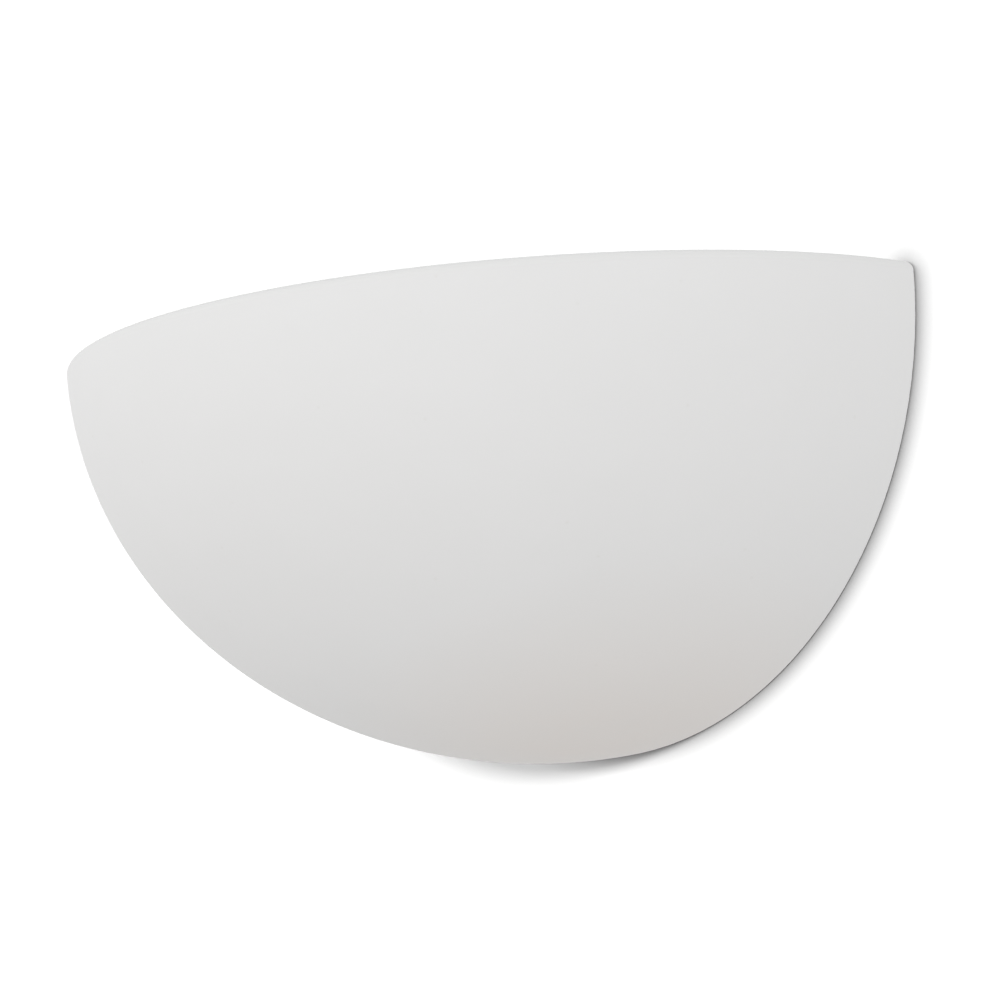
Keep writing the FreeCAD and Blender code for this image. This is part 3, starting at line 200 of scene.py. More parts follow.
class LeadSettings(bpy.types.PropertyGroup):
    live: colour("Live", "Brown silicone", (0.115, 0.040, 0.018))
    neutral: colour("Neutral", "Blue silicone", (0.012, 0.090, 0.330))
    earth: colour("Earth", "Green silicone", (0.012, 0.180, 0.035))
    stripe: colour("Earth stripe", "Yellow stripe on the earth lead", (0.750, 0.560, 0.020))
    copper: colour("Copper", "Tinned copper of the cores and the ring terminal", (0.70, 0.66, 0.62))
    radius: length("Lead radius", "Outer radius of the insulated leads", 0.0012)


class StageSettings(bpy.types.PropertyGroup):
    azimuth: angle("Azimuth", "Camera's turn to the right of the wall's normal", 50.6306)
    elevation: angle("Elevation", "Camera's height angle", -3.6406)
    roll: angle("Roll", "Camera's tilt about its own axis", -4.6043)
    distance: length("Distance", "From the camera to its target", 0.41383)
    target: bpy.props.FloatVectorProperty(
        name="Target", description="Point in the middle of the picture", subtype="XYZ",
        unit="LENGTH", size=3, default=(0.030858, -0.0525, -0.001771),
    )
    lens: number("Lens", "Focal length on a 36 mm sensor, in millimetres", 48.03)
    wall_size: length("Wall", "Side of the square of wall behind the sconce", 8.0)
    wall_paint: share("Wall paint", "How much of its lamps' light the wall shows", 0.25)
    wall_glow: share("Wall glow", "White added to the wall", 0.06)
    wall_bounce: share("Wall bounce", "Light that the wall gives back to the sconce", 0.80)
    wall_contact: length("Contact shade", "How far the shade round a touching edge reaches", 0.0068)
    main_lamp: strength("Main lamp", "Strength of the wall's main lamp", 3.98)
    main_lean: angle("Main lamp's lean", "How far its light leans to the right", 3.6)
    main_drop: angle("Main lamp's drop", "How far its light leans down", 3.9)
    main_size: angle("Main lamp's size", "Its angle across, which softens its shadow", 12.2)
    side_lamp: strength("Side lamp", "Strength of the wall's second lamp", 7.38)
    side_lean: angle("Side lamp's lean", "How far its light leans to the right", -32.3)
    side_drop: angle("Side lamp's drop", "How far its light leans down", 17.3)
    side_size: angle("Side lamp's size", "Its angle across, which softens its shadow", 7.4)
    sky_top: colour("Sky above", "Light from straight above", (0.45, 0.45, 0.45))
    sky_level: colour("Sky at the horizon", "Light from the level", (1.0, 1.0, 1.0))
    sky_bottom: colour("Sky below", "Light from straight below", (0.171, 0.161, 0.149))
    sky: strength("Sky", "Strength of the sky's light", 1.192)
    fill: share("Fill", "How much a broad soft lamp adds to the sky", 0.265)
    fill_from: bpy.props.FloatVectorProperty(
        name="Fill from", description="Direction of the broad soft lamp", subtype="DIRECTION", size=3,
        default=(0.365, -0.879, 0.304),
    )


# ---- modelling helpers
def only(*pieces):
    """Selects these pieces and nothing else; the first becomes the active one."""
    bpy.ops.object.select_all(action="DESELECT")
    for piece in pieces:
        piece.select_set(True)
    bpy.context.view_layer.objects.active = pieces[0]


def named(piece, name):
    piece.name = piece.data.name = name
    return piece


def primitive(kind, name, **sizes):
    """Adds one of Blender's mesh primitives with nothing else selected, names it and applies its place."""
    bpy.ops.object.select_all(action="DESELECT")
    getattr(bpy.ops.mesh, f"primitive_{kind}_add")(**sizes)
    bpy.ops.object.transform_apply(location=True, rotation=True, scale=True)
    return named(bpy.context.object, name)


def put(piece, place, axis, twist=0.0):
    """Stands a piece modelled on Z at the origin on a place, with Z along the axis, and applies that."""
    only(piece)
    aim = Vector(axis).to_track_quat("Z", "Y").to_matrix().to_4x4()
    piece.matrix_world = Matrix.Translation(place) @ aim @ Matrix.Rotation(twist, 4, "Z")
    bpy.ops.object.transform_apply(location=True, rotation=True, scale=True)


def arc(centre, radius, start, end, steps):
    """Points of an arc in an outline, from start to end in degrees, where 0 points away from the axis."""
    angles = [math.radians(start + (end - start) * i / steps) for i in range(steps + 1)]
    return [(centre[0] + radius * math.cos(a), centre[1] + radius * math.sin(a)) for a in angles]


def rings(radius, start, end, step):
    """Outline points along a straight side, close enough together to carry a thread."""
    count = max(1, round((end - start) / step))
    return [(radius, start + (end - start) * i / count) for i in range(count + 1)]


def in_mm(points):
    """Points that were given in millimetres, in metres."""
    return [tuple(part * MM for part in point) for point in points]


def turned(name, outline, steps):
    """A piece turned about Z from (radius, height) points, the first and last of which lie on the axis
    or are the same point."""
    piece = primitive("plane", name, size=MM)
    bpy.ops.object.mode_set(mode="EDIT")
    bpy.ops.mesh.merge(type="CENTER")
    bpy.ops.transform.translate(value=(outline[0][0], 0, outline[0][1]))
    for before, after in zip(outline, outline[1:]):
        bpy.ops.mesh.extrude_vertices_move(
            TRANSFORM_OT_translate={"value": (after[0] - before[0], 0, after[1] - before[1])}
        )
    bpy.ops.mesh.select_all(action="SELECT")
    bpy.ops.mesh.spin(steps=steps, angle=2 * math.pi, center=ORIGIN, axis=Z)
    bpy.ops.mesh.select_all(action="SELECT")
    bpy.ops.mesh.remove_doubles(threshold=0.002 * MM)
    bpy.ops.mesh.normals_make_consistent(inside=False)
    bpy.ops.object.mode_set(mode="OBJECT")
    return piece


def boolean(piece, tool, operation):
    """Cuts the tool from the piece, or joins or keeps what they share, and deletes the tool."""
    only(piece)
    modifier = piece.modifiers.new(operation.title(), "BOOLEAN")
    modifier.object = tool
    modifier.operation = operation
    modifier.solver = "EXACT"
    bpy.ops.object.modifier_apply(modifier=modifier.name)
    bpy.data.objects.remove(tool)


def joined(pieces, name):
    """One object from one or several."""
    only(*pieces)
    bpy.ops.object.join()
    return named(pieces[0], name)


def copies(first, places):
    """The piece itself and copies of it with meshes of their own, at (place, axis, twist)."""
    made = [first]
    for _ in places[1:]:
        again = first.copy()
        again.data = first.data.copy()
        bpy.context.scene.collection.objects.link(again)
        made.append(again)
    for piece, (place, axis, twist) in zip(made, places):
        put(piece, place, axis, twist)
    return made


def around_axis(vertex):
    """How far round the axis a point lies, as a share of a whole turn."""
    return math.atan2(vertex.co.y, vertex.co.x) / (2 * math.pi)


def sink(vertex, depth):
    """Moves a point straight towards the axis."""
    scale = 1 - depth / math.hypot(vertex.co.x, vertex.co.y)
    vertex.co.x *= scale
    vertex.co.y *= scale


def groove(piece, start, end, pitch, depth, fade, shape, origin=0.0):
    """Sinks a right-hand helical groove into the round side between two heights. shape(phase) is 0 on the
    crest and 1 at the root, the phase is counted from the origin's height, and the groove fades in and out
    over the fade length."""
    for vertex in piece.data.vertices:
        height = vertex.co.z
        if start < height < end:
            phase = ((height - origin) / pitch - around_axis(vertex)) % 1
            near_end = min(1.0, (height - start) / fade, (end - height) / fade)
            sink(vertex, depth * shape(phase) * near_end)


def cut_shape(phase):
    """A sharp cut thread."""
    return max(0.0, 1.25 * abs(2 * phase - 1) - 0.25)


def rolled_shape(phase):
    """A round rolled thread."""
    return 0.5 - 0.5 * math.cos(2 * math.pi * phase)


def dress(piece, body, material):
    """Gives a finished piece its body, material slot and material."""
    piece.data.materials.clear()
    piece.data.materials.append(material)
    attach(piece, body)


def stand_in(piece, replaced, body, material, smooth_below=35.0):
    """Smooths a modelled piece where faces meet at less than the angle in degrees, dresses it, and lets it
    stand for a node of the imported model."""
    only(piece)
    bpy.ops.object.shade_smooth_by_angle(angle=math.radians(smooth_below))
    dress(piece, body, material)
    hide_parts(replaced)


def fasten(pieces, name, replaced, steel):
    """Joins like fasteners of the bracket into one piece, which stands for their node."""
    stand_in(joined(pieces, name), replaced, "bracket", steel)


def finish_node(name, material):
    """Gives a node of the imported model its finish."""
    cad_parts[name].material_slots[0].material = material


# ---- shader helpers
def fill(sockets, values):
    """Links each value that is a socket, or a node's first output, and sets the others."""
    for key, value in values.items():
        if isinstance(value, bpy.types.Node):
            value = value.outputs[0]
        if isinstance(value, bpy.types.NodeSocket):
            value.id_data.links.new(value, sockets[key])
        else:
            sockets[key].default_value = value


def node(beside, kind, inputs=None, **settings):
    """Adds a node to a node tree, or to the one a socket is in, sets its properties and fills its inputs."""
    made = beside.id_data.nodes.new("ShaderNode" + kind)
    for key, value in settings.items():
        setattr(made, key, value)
    fill(made.inputs, inputs or {})
    return made


def ranged(value, low, high, to_low=0.0, to_high=1.0):
    """Maps a value from one range to another, clamped."""
    return node(value, "MapRange", {
        "Value": value, "From Min": low, "From Max": high, "To Min": to_low, "To Max": to_high,
    }).outputs[0]


def spread(mask, low, high):
    """Spreads a mask over a range."""
    return ranged(mask, 0, 1, low, high)


def maths(operation, first, second):
    return node(first, "Math", {0: first, 1: second}, operation=operation).outputs[0]


def times(first, second):
    return maths("MULTIPLY", first, second)


def vectors(operation, first, second, result):
    return node(first, "VectorMath", {0: first, 1: second}, operation=operation).outputs[result]


def coordinate(vector, axis):
    """One coordinate of a vector, 0 to 2 for X to Z."""
    return node(vector, "SeparateXYZ", {0: vector}).outputs[axis]


def mixed(factor, first, second, blend="MIX"):
    inputs = {"Factor": factor, 6: first, 7: second}
    return node(factor, "Mix", inputs, data_type="RGBA", blend_type=blend).outputs[2]


def noise(place, scale, detail=3.0, roughness=0.5):
    return node(place, "TexNoise", {
        "Vector": place, "Scale": scale, "Detail": detail, "Roughness": roughness,
    }).outputs[0]


def bumped(height, distance, **normal):
    return node(height, "Bump", {"Height": height, "Distance": distance, **normal}).outputs[0]


def darker(tone, kept):
    return tuple(kept * part for part in tone[:3]) + (1.0,)


# ---- shared effects
def effect(name, inputs, outputs):
    """A new node group with a Place and these inputs, each with its default, and outputs, each with its
    kind. A default of one number makes a value, three make a vector and four a colour."""
    tree = bpy.data.node_groups.new(name, "ShaderNodeTree")
    for title, value in {"Place": ORIGIN, **inputs}.items():
        kind = {3: "Vector", 4: "Color"}[len(value)] if isinstance(value, tuple) else "Float"
        socket = tree.interface.new_socket(title, in_out="INPUT", socket_type=f"NodeSocket{kind}")
        socket.default_value = value
    for title, kind in outputs.items():
        tree.interface.new_socket(title, in_out="OUTPUT", socket_type=f"NodeSocket{kind}")
    return tree.nodes.new("NodeGroupInput").outputs, tree.nodes.new("NodeGroupOutput").inputs


def make_clouds():
    """Tone that drifts through a body: colour in, colour out."""
    given, result = effect(
        "Clouds", {"Colour": WHITE, "Tone": WHITE, "Scale": 20.0, "Amount": 0.3},
        {"Colour": "Color", "Mask": "Float"},
    )
    broad = noise(given["Place"], given["Scale"], 2.0)
    fine = noise(given["Place"], times(given["Scale"], 5.0), 4.0, 0.6)
    mask = ranged(maths("ADD", times(broad, 0.7), times(fine, 0.3)), 0.38, 0.62)
    amount = times(mask, given["Amount"])
    fill(result, {"Colour": mixed(amount, given["Colour"], given["Tone"]), "Mask": mask})


def make_grain():
    """Fine pitted grain: a height for a bump and a mask for roughness."""
    given, result = effect("Grain", {"Scale": 1200.0}, {"Height": "Float", "Mask": "Float"})
    fine = noise(given["Place"], given["Scale"], 5.0, 0.65)
    coarse = noise(given["Place"], times(given["Scale"], 0.22), 3.0)
    height = maths("ADD", times(fine, 0.6), times(coarse, 0.4))
    fill(result, {"Height": height, "Mask": ranged(fine, 0.35, 0.65)})


def make_specks():
    """Scattered specks of uneven size: a mask."""
    given, result = effect("Specks", {"Scale": 260.0, "Rarity": 0.8}, {"Mask": "Float"})
    place = given["Place"]
    cells = node(place, "TexVoronoi", {"Vector": place, "Scale": given["Scale"]}).outputs
    chance = node(place, "SeparateColor", {0: cells["Color"]})
    chosen = maths("GREATER_THAN", chance, given["Rarity"])
    spot = ranged(cells["Distance"], 0.05, 0.16, 1.0, 0.0)
    fill(result, {"Mask": times(chosen, spot)})


def make_streaks():
    """Streaks drawn out along the axis that Stretch enlarges least, as rolling and turning leave them:
    a mask."""
    given, result = effect("Streaks", {"Stretch": (60.0, 1500.0, 1500.0)}, {"Mask": "Float"})
    drawn = vectors("MULTIPLY", given["Place"], given["Stretch"], 0)
    fill(result, {"Mask": ranged(noise(drawn, 1.0, 3.0, 0.6), 0.3, 0.7)})


def make_soft_edges():
    """Rounds sharp edges and marks them: a normal and a mask."""
    given, result = effect("Soft edges", {"Scale": 400.0}, {"Normal": "Vector", "Mask": "Float"})
    place = given["Place"]
    soft = node(place, "Bevel", {"Radius": 0.3 * MM}, samples=6).outputs[0]
    flat = node(place, "NewGeometry").outputs["Normal"]
    edge = ranged(vectors("DOT_PRODUCT", soft, flat, "Value"), 0.80, 0.98, 1.0, 0.0)
    worn = ranged(noise(place, given["Scale"]), 0.40, 0.60)
    fill(result, {"Normal": soft, "Mask": times(edge, worn)})


def make_effects():
    for make in (make_clouds, make_grain, make_specks, make_streaks, make_soft_edges):
        make()


def use(name, place, **inputs):
    """Places a shared effect in a material."""
    group = node(place, "Group", node_tree=bpy.data.node_groups[name])
    fill(group.inputs, {"Place": place, **inputs})
    return group.outputs


# ---- finishes
def skinned(shader, place, colour, scale, low, high, depth, **normal):
    """Ends a finish with a fine grain, which roughens it between low and high and dents it by the depth."""
    grain = use("Grain", place, Scale=scale)
    fill(shader, {
        "Base Color": colour,
        "Roughness": spread(grain["Mask"], low, high),
        "Normal": bumped(grain["Height"], depth, **normal),
    })


def material(name, **plain):
    """A new material with one Principled BSDF. Plain values go on its own sockets, with underscores for
    the spaces in their names."""
    made = bpy.data.materials.new(name)
    made.use_nodes = True
    shader = made.node_tree.nodes["Principled BSDF"].inputs
    fill(shader, {key.replace("_", " "): value for key, value in plain.items()})
    return made, shader, node(made.node_tree, "TexCoord").outputs["Object"]


def ceramic():
    """Matt white fired clay: cloudy tone, painted warm bounce light on the down-facing faces low on the
    right, painted shade on the rim's rounded top, a sponged grain and faint specks.
    """
    look = bpy.context.scene.sconce_ceramic
    made, shader, place = material("Matt fired clay", Specular_IOR_Level=0.2)
    away = vectors("DISTANCE", place, PAINTED_BOUNCE_CENTRE, "Value")
    upward = coordinate(node(place, "NewGeometry").outputs["Normal"], 2)
    # painted light: a warm tone on faces that point down, near the lower right, stands in for warm bounce
    # light from below
    near_painted_bounce = ranged(away, *PAINTED_BOUNCE_REACH, look.painted_bounce_strength, 0.0)
    painted_bounce_mask = times(near_painted_bounce, ranged(upward, 0.0, -0.3))
    # painted shade: the rim's rounded top is darkened, standing in for the edge turning from the light
    with_painted_rim_shade = mixed(ranged(coordinate(place, 2), *PAINTED_RIM_SHADE_Z), look.body, look.rim)
    with_painted_bounce = mixed(painted_bounce_mask, with_painted_rim_shade, look.painted_bounce_light)
    cloudy = use("Clouds", place, Colour=with_painted_bounce, Tone=look.cloud, Scale=16.0, Amount=look.cloudiness)
    specks = use("Specks", place, Scale=240.0, Rarity=0.96)
    tone = mixed(times(specks["Mask"], look.specks), cloudy["Colour"], look.speck)
    ripple = bumped(noise(place, 30.0, 2.0), 0.25 * MM)
    rough = look.roughness
    skinned(shader, place, tone, 900.0, rough - 0.08, rough + 0.06, look.grain, Normal=ripple)
    return made


def sheet_steel(name, stretch):
    """Zinc-plated pressed sheet: rolling streaks, a cloudy passivation film and worn soft edges."""
    look = bpy.context.scene.sconce_steel
    made, shader, place = material(name, Metallic=1.0)
    streaks = use("Streaks", place, Stretch=stretch)
    film = use("Clouds", place, Colour=look.sheet, Tone=look.tint, Scale=55.0, Amount=0.8)
    edges = use("Soft edges", place)
    rough = spread(streaks["Mask"], look.roughness - 0.10, look.roughness + 0.06)
    fill(shader, {
        "Base Color": mixed(edges["Mask"], film["Colour"], (0.80, 0.80, 0.79, 1.0)),
        "Roughness": maths("ADD", rough, spread(film["Mask"], -0.03, 0.06)),
        "Normal": bumped(streaks["Mask"], 0.0025 * MM * look.streaks, Normal=edges["Normal"]),
    })
    return made


def plated(name, base, roughness):
    """Barrel-plated small metal: fine tumbled grain and slight cloudiness."""
    made, shader, place = material(name, Metallic=1.0)
    tone = use("Clouds", place, Colour=base, Tone=darker(base, 0.78), Scale=420.0, Amount=0.6)
    skinned(shader, place, tone["Colour"], 4200.0, roughness - 0.07, roughness + 0.08, 0.006 * MM)
    return made


def brass(name, base, roughness, stretch):
    """Brass with fine tool marks and some tarnish."""
    look = bpy.context.scene.sconce_brass
    made, shader, place = material(name, Metallic=1.0)
    tone = use("Clouds", place, Colour=base, Tone=look.tarnish, Scale=190.0, Amount=0.35)
    cuts = use("Streaks", place, Stretch=stretch)
    fill(shader, {
        "Base Color": tone["Colour"],
        "Roughness": spread(cuts["Mask"], roughness - 0.08, roughness + 0.10),
        "Normal": bumped(cuts["Mask"], 0.008 * MM),
    })
    return made


def porcelain():
    """Glazed porcelain: a soft orange-peel glaze, rare specks, and a bare face towards the arm."""
    look = bpy.context.scene.sconce_porcelain
    made, shader, place = material("Glazed porcelain", Coat_Roughness=0.05, Coat_IOR=1.5)
    bare = ranged(coordinate(place, 0), *HOLDER_BARE_X, 1.0, 0.0)
    tone = use("Clouds", place, Colour=look.glaze, Tone=look.bare, Scale=60.0, Amount=0.15)
    specks = times(use("Specks", place, Scale=420.0, Rarity=0.95)["Mask"], 0.35)
    speckled = mixed(specks, tone["Colour"], (0.45, 0.38, 0.30, 1.0))
    fill(shader, {
        "Base Color": mixed(bare, speckled, look.bare),
        "Roughness": spread(bare, 0.16, 0.75),
        "Coat Weight": spread(bare, 0.9, 0.0),
        "Normal": bumped(noise(place, 330.0, 1.0), 0.05 * MM),
    })
    return made


def frosted_glass():
    """Glass frosted inside: a clean outer gloss over a milky, lightly translucent body."""
    base = bpy.context.scene.sconce_lamp.glass
    made, shader, place = material(
        "Frosted lamp glass", IOR=1.5, Coat_Weight=0.6, Coat_Roughness=0.03, Transmission_Weight=0.35,
    )
    milk = use("Clouds", place, Colour=base, Tone=(0.86, 0.87, 0.88, 1.0), Scale=35.0, Amount=0.4)
    frost = use("Grain", place, Scale=1500.0)
    fill(shader, {"Base Color": milk["Colour"], "Roughness": spread(frost["Mask"], 0.38, 0.52)})
    return made


def moulded(name, base, roughness, grain_scale, depth, **plain):
    """Moulded plastic, rubber or pressed fibre: a fine skin and slightly uneven gloss."""
    made, shader, place = material(name, **plain)
    tone = use("Clouds", place, Colour=base, Tone=darker(base, 0.82), Scale=160.0, Amount=0.4)
    edge = use("Soft edges", place)["Normal"]
    rough = roughness - 0.06, roughness + 0.08
    skinned(shader, place, tone["Colour"], grain_scale, *rough, depth, Normal=edge)
    return made


def lead_skin(name, base, stripe=None):
    """Silicone insulation with a faint drawn grain; the stripe follows the lead."""
    made, shader, place = material(name, Sheen_Weight=0.15, Sheen_Roughness=0.4)
    tone = use("Clouds", place, Colour=base, Tone=darker(base, 0.75), Scale=260.0, Amount=0.5)
    skin = tone["Colour"]
    if stripe is not None:
        around = coordinate(node(place, "UVMap", uv_map="UVMap"), 1)
        wave = maths("SINE", times(around, 4 * math.pi), 0.0)
        skin = mixed(ranged(wave, 0.25, 0.35), skin, stripe)
    skinned(shader, place, skin, 2600.0, 0.46, 0.60, 0.01 * MM)
    return made


# ---- fasteners, modelled on Z with their seat at the origin
def head(radius, height, foot, bend, sweep, steps):
    """Outline of a screw's head: a chamfered foot, and a top edge bent over through the sweep in degrees."""
    top_edge = arc((radius - bend, height - bend), bend, 0, sweep, steps)
    return [(radius - foot, 0), (radius, foot)] + top_edge + [(0, height)]


def screw(name, head_outline, radius, pitch, reach, plain):
    """A fastener in one piece, with Z out of its head. The thread runs from the plain length under the
    head to the chamfered end."""
    chamfer = 0.6 * pitch
    shank = [(0, -reach), (radius - chamfer, -reach)] + rings(radius, chamfer - reach, 0, pitch / 8)
    made = turned(name, shank + head_outline, 40)
    groove(made, 0.5 * chamfer - reach, -plain, pitch, 0.61 * pitch, pitch, cut_shape)
    return made


def drive_cross(size, depth):
    """A tool that cuts a cross recess into the top of a screw head."""
    cross, bar = (
        primitive("cube", "blade", size=1, scale=(2 * size, 0.32 * size, 2 * depth), rotation=(0, 0, twist))
        for twist in (0, math.pi / 2)
    )
    boolean(cross, bar, "UNION")
    bpy.ops.object.mode_set(mode="EDIT")
    mesh = bmesh.from_edit_mesh(cross.data)
    for face in mesh.faces:
        face.select_set(face.normal.z < -0.9)
    bmesh.update_edit_mesh(cross.data)
    bpy.ops.transform.resize(value=(0.45, 0.45, 1), center_override=ORIGIN)
    bpy.ops.object.mode_set(mode="OBJECT")
    return cross


def pan_screw(name, radius, pitch, reach, head_radius, head_height):
    """A cross-recessed pan-head screw."""
    outline = head(head_radius, head_height, 0.1 * MM, 0.62 * head_height, 80, 7)
    made = screw(name, outline, radius, pitch, reach, 0.5 * MM)
    cross = drive_cross(0.58 * head_radius, 0.62 * head_height)
    cross.location.z = head_height
    boolean(made, cross, "DIFFERENCE")
    return made


def hex_nut(name):
    """A chamfered M4 hexagon nut."""
    flat, bore, bevel = 3.5 * MM, 2.05 * MM, 0.4 * MM
    corner = flat / math.cos(math.pi / 6)
    nut = primitive(
        "cylinder", name, vertices=6, radius=corner, depth=NUT_HEIGHT, location=(0, 0, NUT_HEIGHT / 2),
    )
    lean = 0.5 * (corner - flat)
    rim = 0.97 * flat
    boolean(nut, turned("chamfer", [
        (0, 0), (rim, 0), (corner, lean), (corner, NUT_HEIGHT - lean), (rim, NUT_HEIGHT), (0, NUT_HEIGHT),
    ], 72), "INTERSECT")
    mouth = bore + bevel + 0.5 * MM
    boolean(nut, turned("bore", [
        (0, -MM), (mouth, -MM), (bore + bevel, 0), (bore, bevel), (bore, NUT_HEIGHT - bevel),
        (bore + bevel, NUT_HEIGHT), (mouth, NUT_HEIGHT + MM), (0, NUT_HEIGHT + MM),
    ], 48), "DIFFERENCE")
    return nut


# ---- operators
class SconceOperator:
    """What every operator of the sconce shares."""
    bl_options = {"REGISTER", "UNDO"}


class SCONCE_OT_bowl(SconceOperator, bpy.types.Operator):
    """Finish the ceramic bowl"""
    bl_idname = "sconce.bowl"
    bl_label = "Ceramic bowl"

    def execute(self, context):
        finish_node("ceramic_bowl", ceramic())
        return {"FINISHED"}


class SCONCE_OT_bracket(SconceOperator, bpy.types.Operator):
    """Finish the pressed bracket, the holder arm and the cable grommet"""
    bl_idname = "sconce.bracket"
    bl_label = "Bracket and arm"

    def execute(self, context):
        look = context.scene.sconce_plastic
        finish_node("wall_bracket", sheet_steel("Zinc-plated bracket", (22.0, 1300.0, 1300.0)))
        finish_node("holder_arm", sheet_steel("Zinc-plated arm", (1300.0, 22.0, 1300.0)))
        finish_node("cable_grommet", moulded("Black rubber", look.rubber, 0.55, 2200.0, 0.02 * MM))
        return {"FINISHED"}


class SCONCE_OT_studs(SconceOperator, bpy.types.Operator):
    """Model the two hanging studs and the earth stud with their threads and clinched heads"""
    bl_idname = "sconce.studs"
    bl_label = "Studs"

    def execute(self, context):
        pitch = context.scene.sconce_threads.stud_pitch
        steel = plated("Zinc-plated studs", context.scene.sconce_steel.screw, 0.30)
        for name in ("right_hanging_stud", "left_hanging_stud", "earth_stud"):
            low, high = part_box(name)
            middle = (low + high) / 2
            seat = high.y - STUD_HEAD
            clinched = head((high.x - low.x) / 2, STUD_HEAD, 0.15 * MM, 0.15 * MM, 90, 3)
            stud = screw(name, clinched, M4_RADIUS, pitch, seat - low.y, MM)
            put(stud, (middle.x, seat, middle.z), Y)
            fasten([stud], name + "_threaded", name, steel)
        return {"FINISHED"}


class SCONCE_OT_thumb_nuts(SconceOperator, bpy.types.Operator):
    """Model the knurled brass thumb nuts and finish their fibre washers"""
    bl_idname = "sconce.thumb_nuts"
    bl_label = "Thumb nuts and washers"

    def execute(self, context):
        look = context.scene.sconce_brass
        metal = brass("Turned brass", look.turned, look.roughness, (90.0, 4200.0, 90.0))
        fibre = moulded("Vulcanised fibre", context.scene.sconce_plastic.fibre, 0.62, 1500.0, 0.03 * MM)
        for side in ("right", "left"):
            low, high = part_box(side + "_thumb_nut")
            middle = (low + high) / 2
            nut = self.knurled(side + "_thumb_nut_knurled")
            put(nut, (middle.x, high.y, middle.z), -Y)
            stand_in(nut, side + "_thumb_nut", side + "_nut", metal, 30)
            finish_node(side + "_fibre_washer", fibre)
        return {"FINISHED"}

    def knurled(self, name):
        """A turned nut on Z: a neck, a grip with straight knurling, a dished top and a chamfered bore."""
        bore, neck, start, grip, total, edge, knurl = 2.1, 4.5, 2, 7, 8, 0.6, 0.30
        dish = total - 0.35
        teeth = 48
        nut = turned(name, in_mm([
            (bore + 0.4, 0), (neck - 0.3, 0), (neck, 0.3), (neck, start - 0.3), (neck + 0.3, start),
            (grip - edge, start), (grip, start + edge), (grip, total - edge), (grip - edge, total),
            (4.2, total), (3.9, dish), (3.1, dish), (bore + 0.4, dish), (bore, total - 0.8), (bore, 0.4),
            (bore + 0.4, 0),
        ]), teeth * 4)
        for vertex in nut.data.vertices:
            if math.hypot(vertex.co.x, vertex.co.y) > (grip - 0.5 * edge) * MM:
                phase = (around_axis(vertex) * teeth + 0.5) % 1
                sink(vertex, knurl * MM * abs(2 * phase - 1))
        return nut


class SCONCE_OT_screws(SconceOperator, bpy.types.Operator):
    """Model the screws of the arm, the lampholder, the terminal block and the clips"""
    bl_idname = "sconce.screws"
    bl_label = "Screws"

    def execute(self, context):
        threads = context.scene.sconce_threads
        steel = plated("Zinc-plated screws", context.scene.sconce_steel.screw, 0.27)
        large = (M4_RADIUS, threads.stud_pitch, 7 * MM, 3.8 * MM, 2.6 * MM)
        small = (M3_RADIUS, threads.small_pitch)
        small_head = (2.5 * MM, 1.9 * MM)
        beside_lamp = HOLDER_SCREWS_APART / 2
        sets = {
            "arm_screws": (large, [
                ((x, ARM_FRONT, 0), -Y, twist) for x, twist in zip(ARM_SCREWS_X, (0.4, 1.1))
            ]),
            "holder_screws": ((*small, 8.5 * MM, *small_head), [
                ((ARM_BACK_X, LAMP_AXIS_Y - beside_lamp, 0), -X, 0.2),
                ((ARM_BACK_X, LAMP_AXIS_Y + beside_lamp, 0), -X, 0.9),
            ]),
            "block_screw": ((*small, 12 * MM, *small_head), [(BLOCK_SCREW, -Y, 0.6)]),
            "clip_screws": ((*small, 5.6 * MM, *small_head), [
                (ARM_CLIP_SCREW, -X, 0.3), (WEB_CLIP_SCREW, -Y, 0.7),
            ]),
        }
        for name, (sizes, places) in sets.items():
            fasten(copies(pan_screw(name, *sizes), places), name + "_cross_head", name, steel)
        fasten(self.clamp_screws(), "terminal_screws_slotted", "terminal_screws", steel)
        return {"FINISHED"}

    def clamp_screws(self):
        """The six slotted clamp screws deep in the terminal block's wells."""
        radius, end, soft = 1.4, 4, 0.25
        top_edge = arc((radius - soft, end - soft), soft, 0, 90, 4)
        first = turned("clamp_screw", in_mm([(0, 0), (radius, 0)] + top_edge + [(0, end)]), 40)
        slot = primitive(
            "cube", "slot", size=1, scale=(20 * MM, 0.55 * MM, 1.6 * MM), location=(0, 0, end * MM),
        )
        boolean(first, slot, "DIFFERENCE")
        return copies(first, [
            ((pole * MM, WIRE_Y - 0.65 * MM, (6 + side * 4.5) * MM), -Y, 0.5 * pole + side)
            for pole in (20, 30, 40) for side in (-1, 1)
        ])


class SCONCE_OT_nuts(SconceOperator, bpy.types.Operator):
    """Model the hexagon nuts of the arm and the earth stud, and the earth washer"""
    bl_idname = "sconce.nuts"
    bl_label = "Hexagon nuts"

    def execute(self, context):
        steel = plated("Zinc-plated nuts", context.scene.sconce_steel.screw, 0.32)
        flat_up = math.pi / 6
        pair = copies(hex_nut("arm_nut"), [
            ((x, BACK_OF_WEB, 0), Y, flat_up + twist) for x, twist in zip(ARM_SCREWS_X, (0, 0.08))
        ])
        fasten(pair, "arm_nuts_chamfered", "arm_nuts", steel)
        low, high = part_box("earth_nut")
        middle = (low + high) / 2
        nut = hex_nut("earth_nut_chamfered")
        put(nut, (middle.x, low.y + NUT_HEIGHT, middle.z), -Y, flat_up - 0.1)
        washer = turned("earth_washer", in_mm([
            (2.05, 0.1), (2.15, 0), (4.4, 0), (4.5, 0.1), (4.5, 0.7), (4.4, 0.8), (2.15, 0.8), (2.05, 0.7),
            (2.05, 0.1),
        ]), 48)
        put(washer, (middle.x, high.y, middle.z), -Y)
        fasten([nut, washer], "earth_nut_and_washer", "earth_nut", steel)
        return {"FINISHED"}


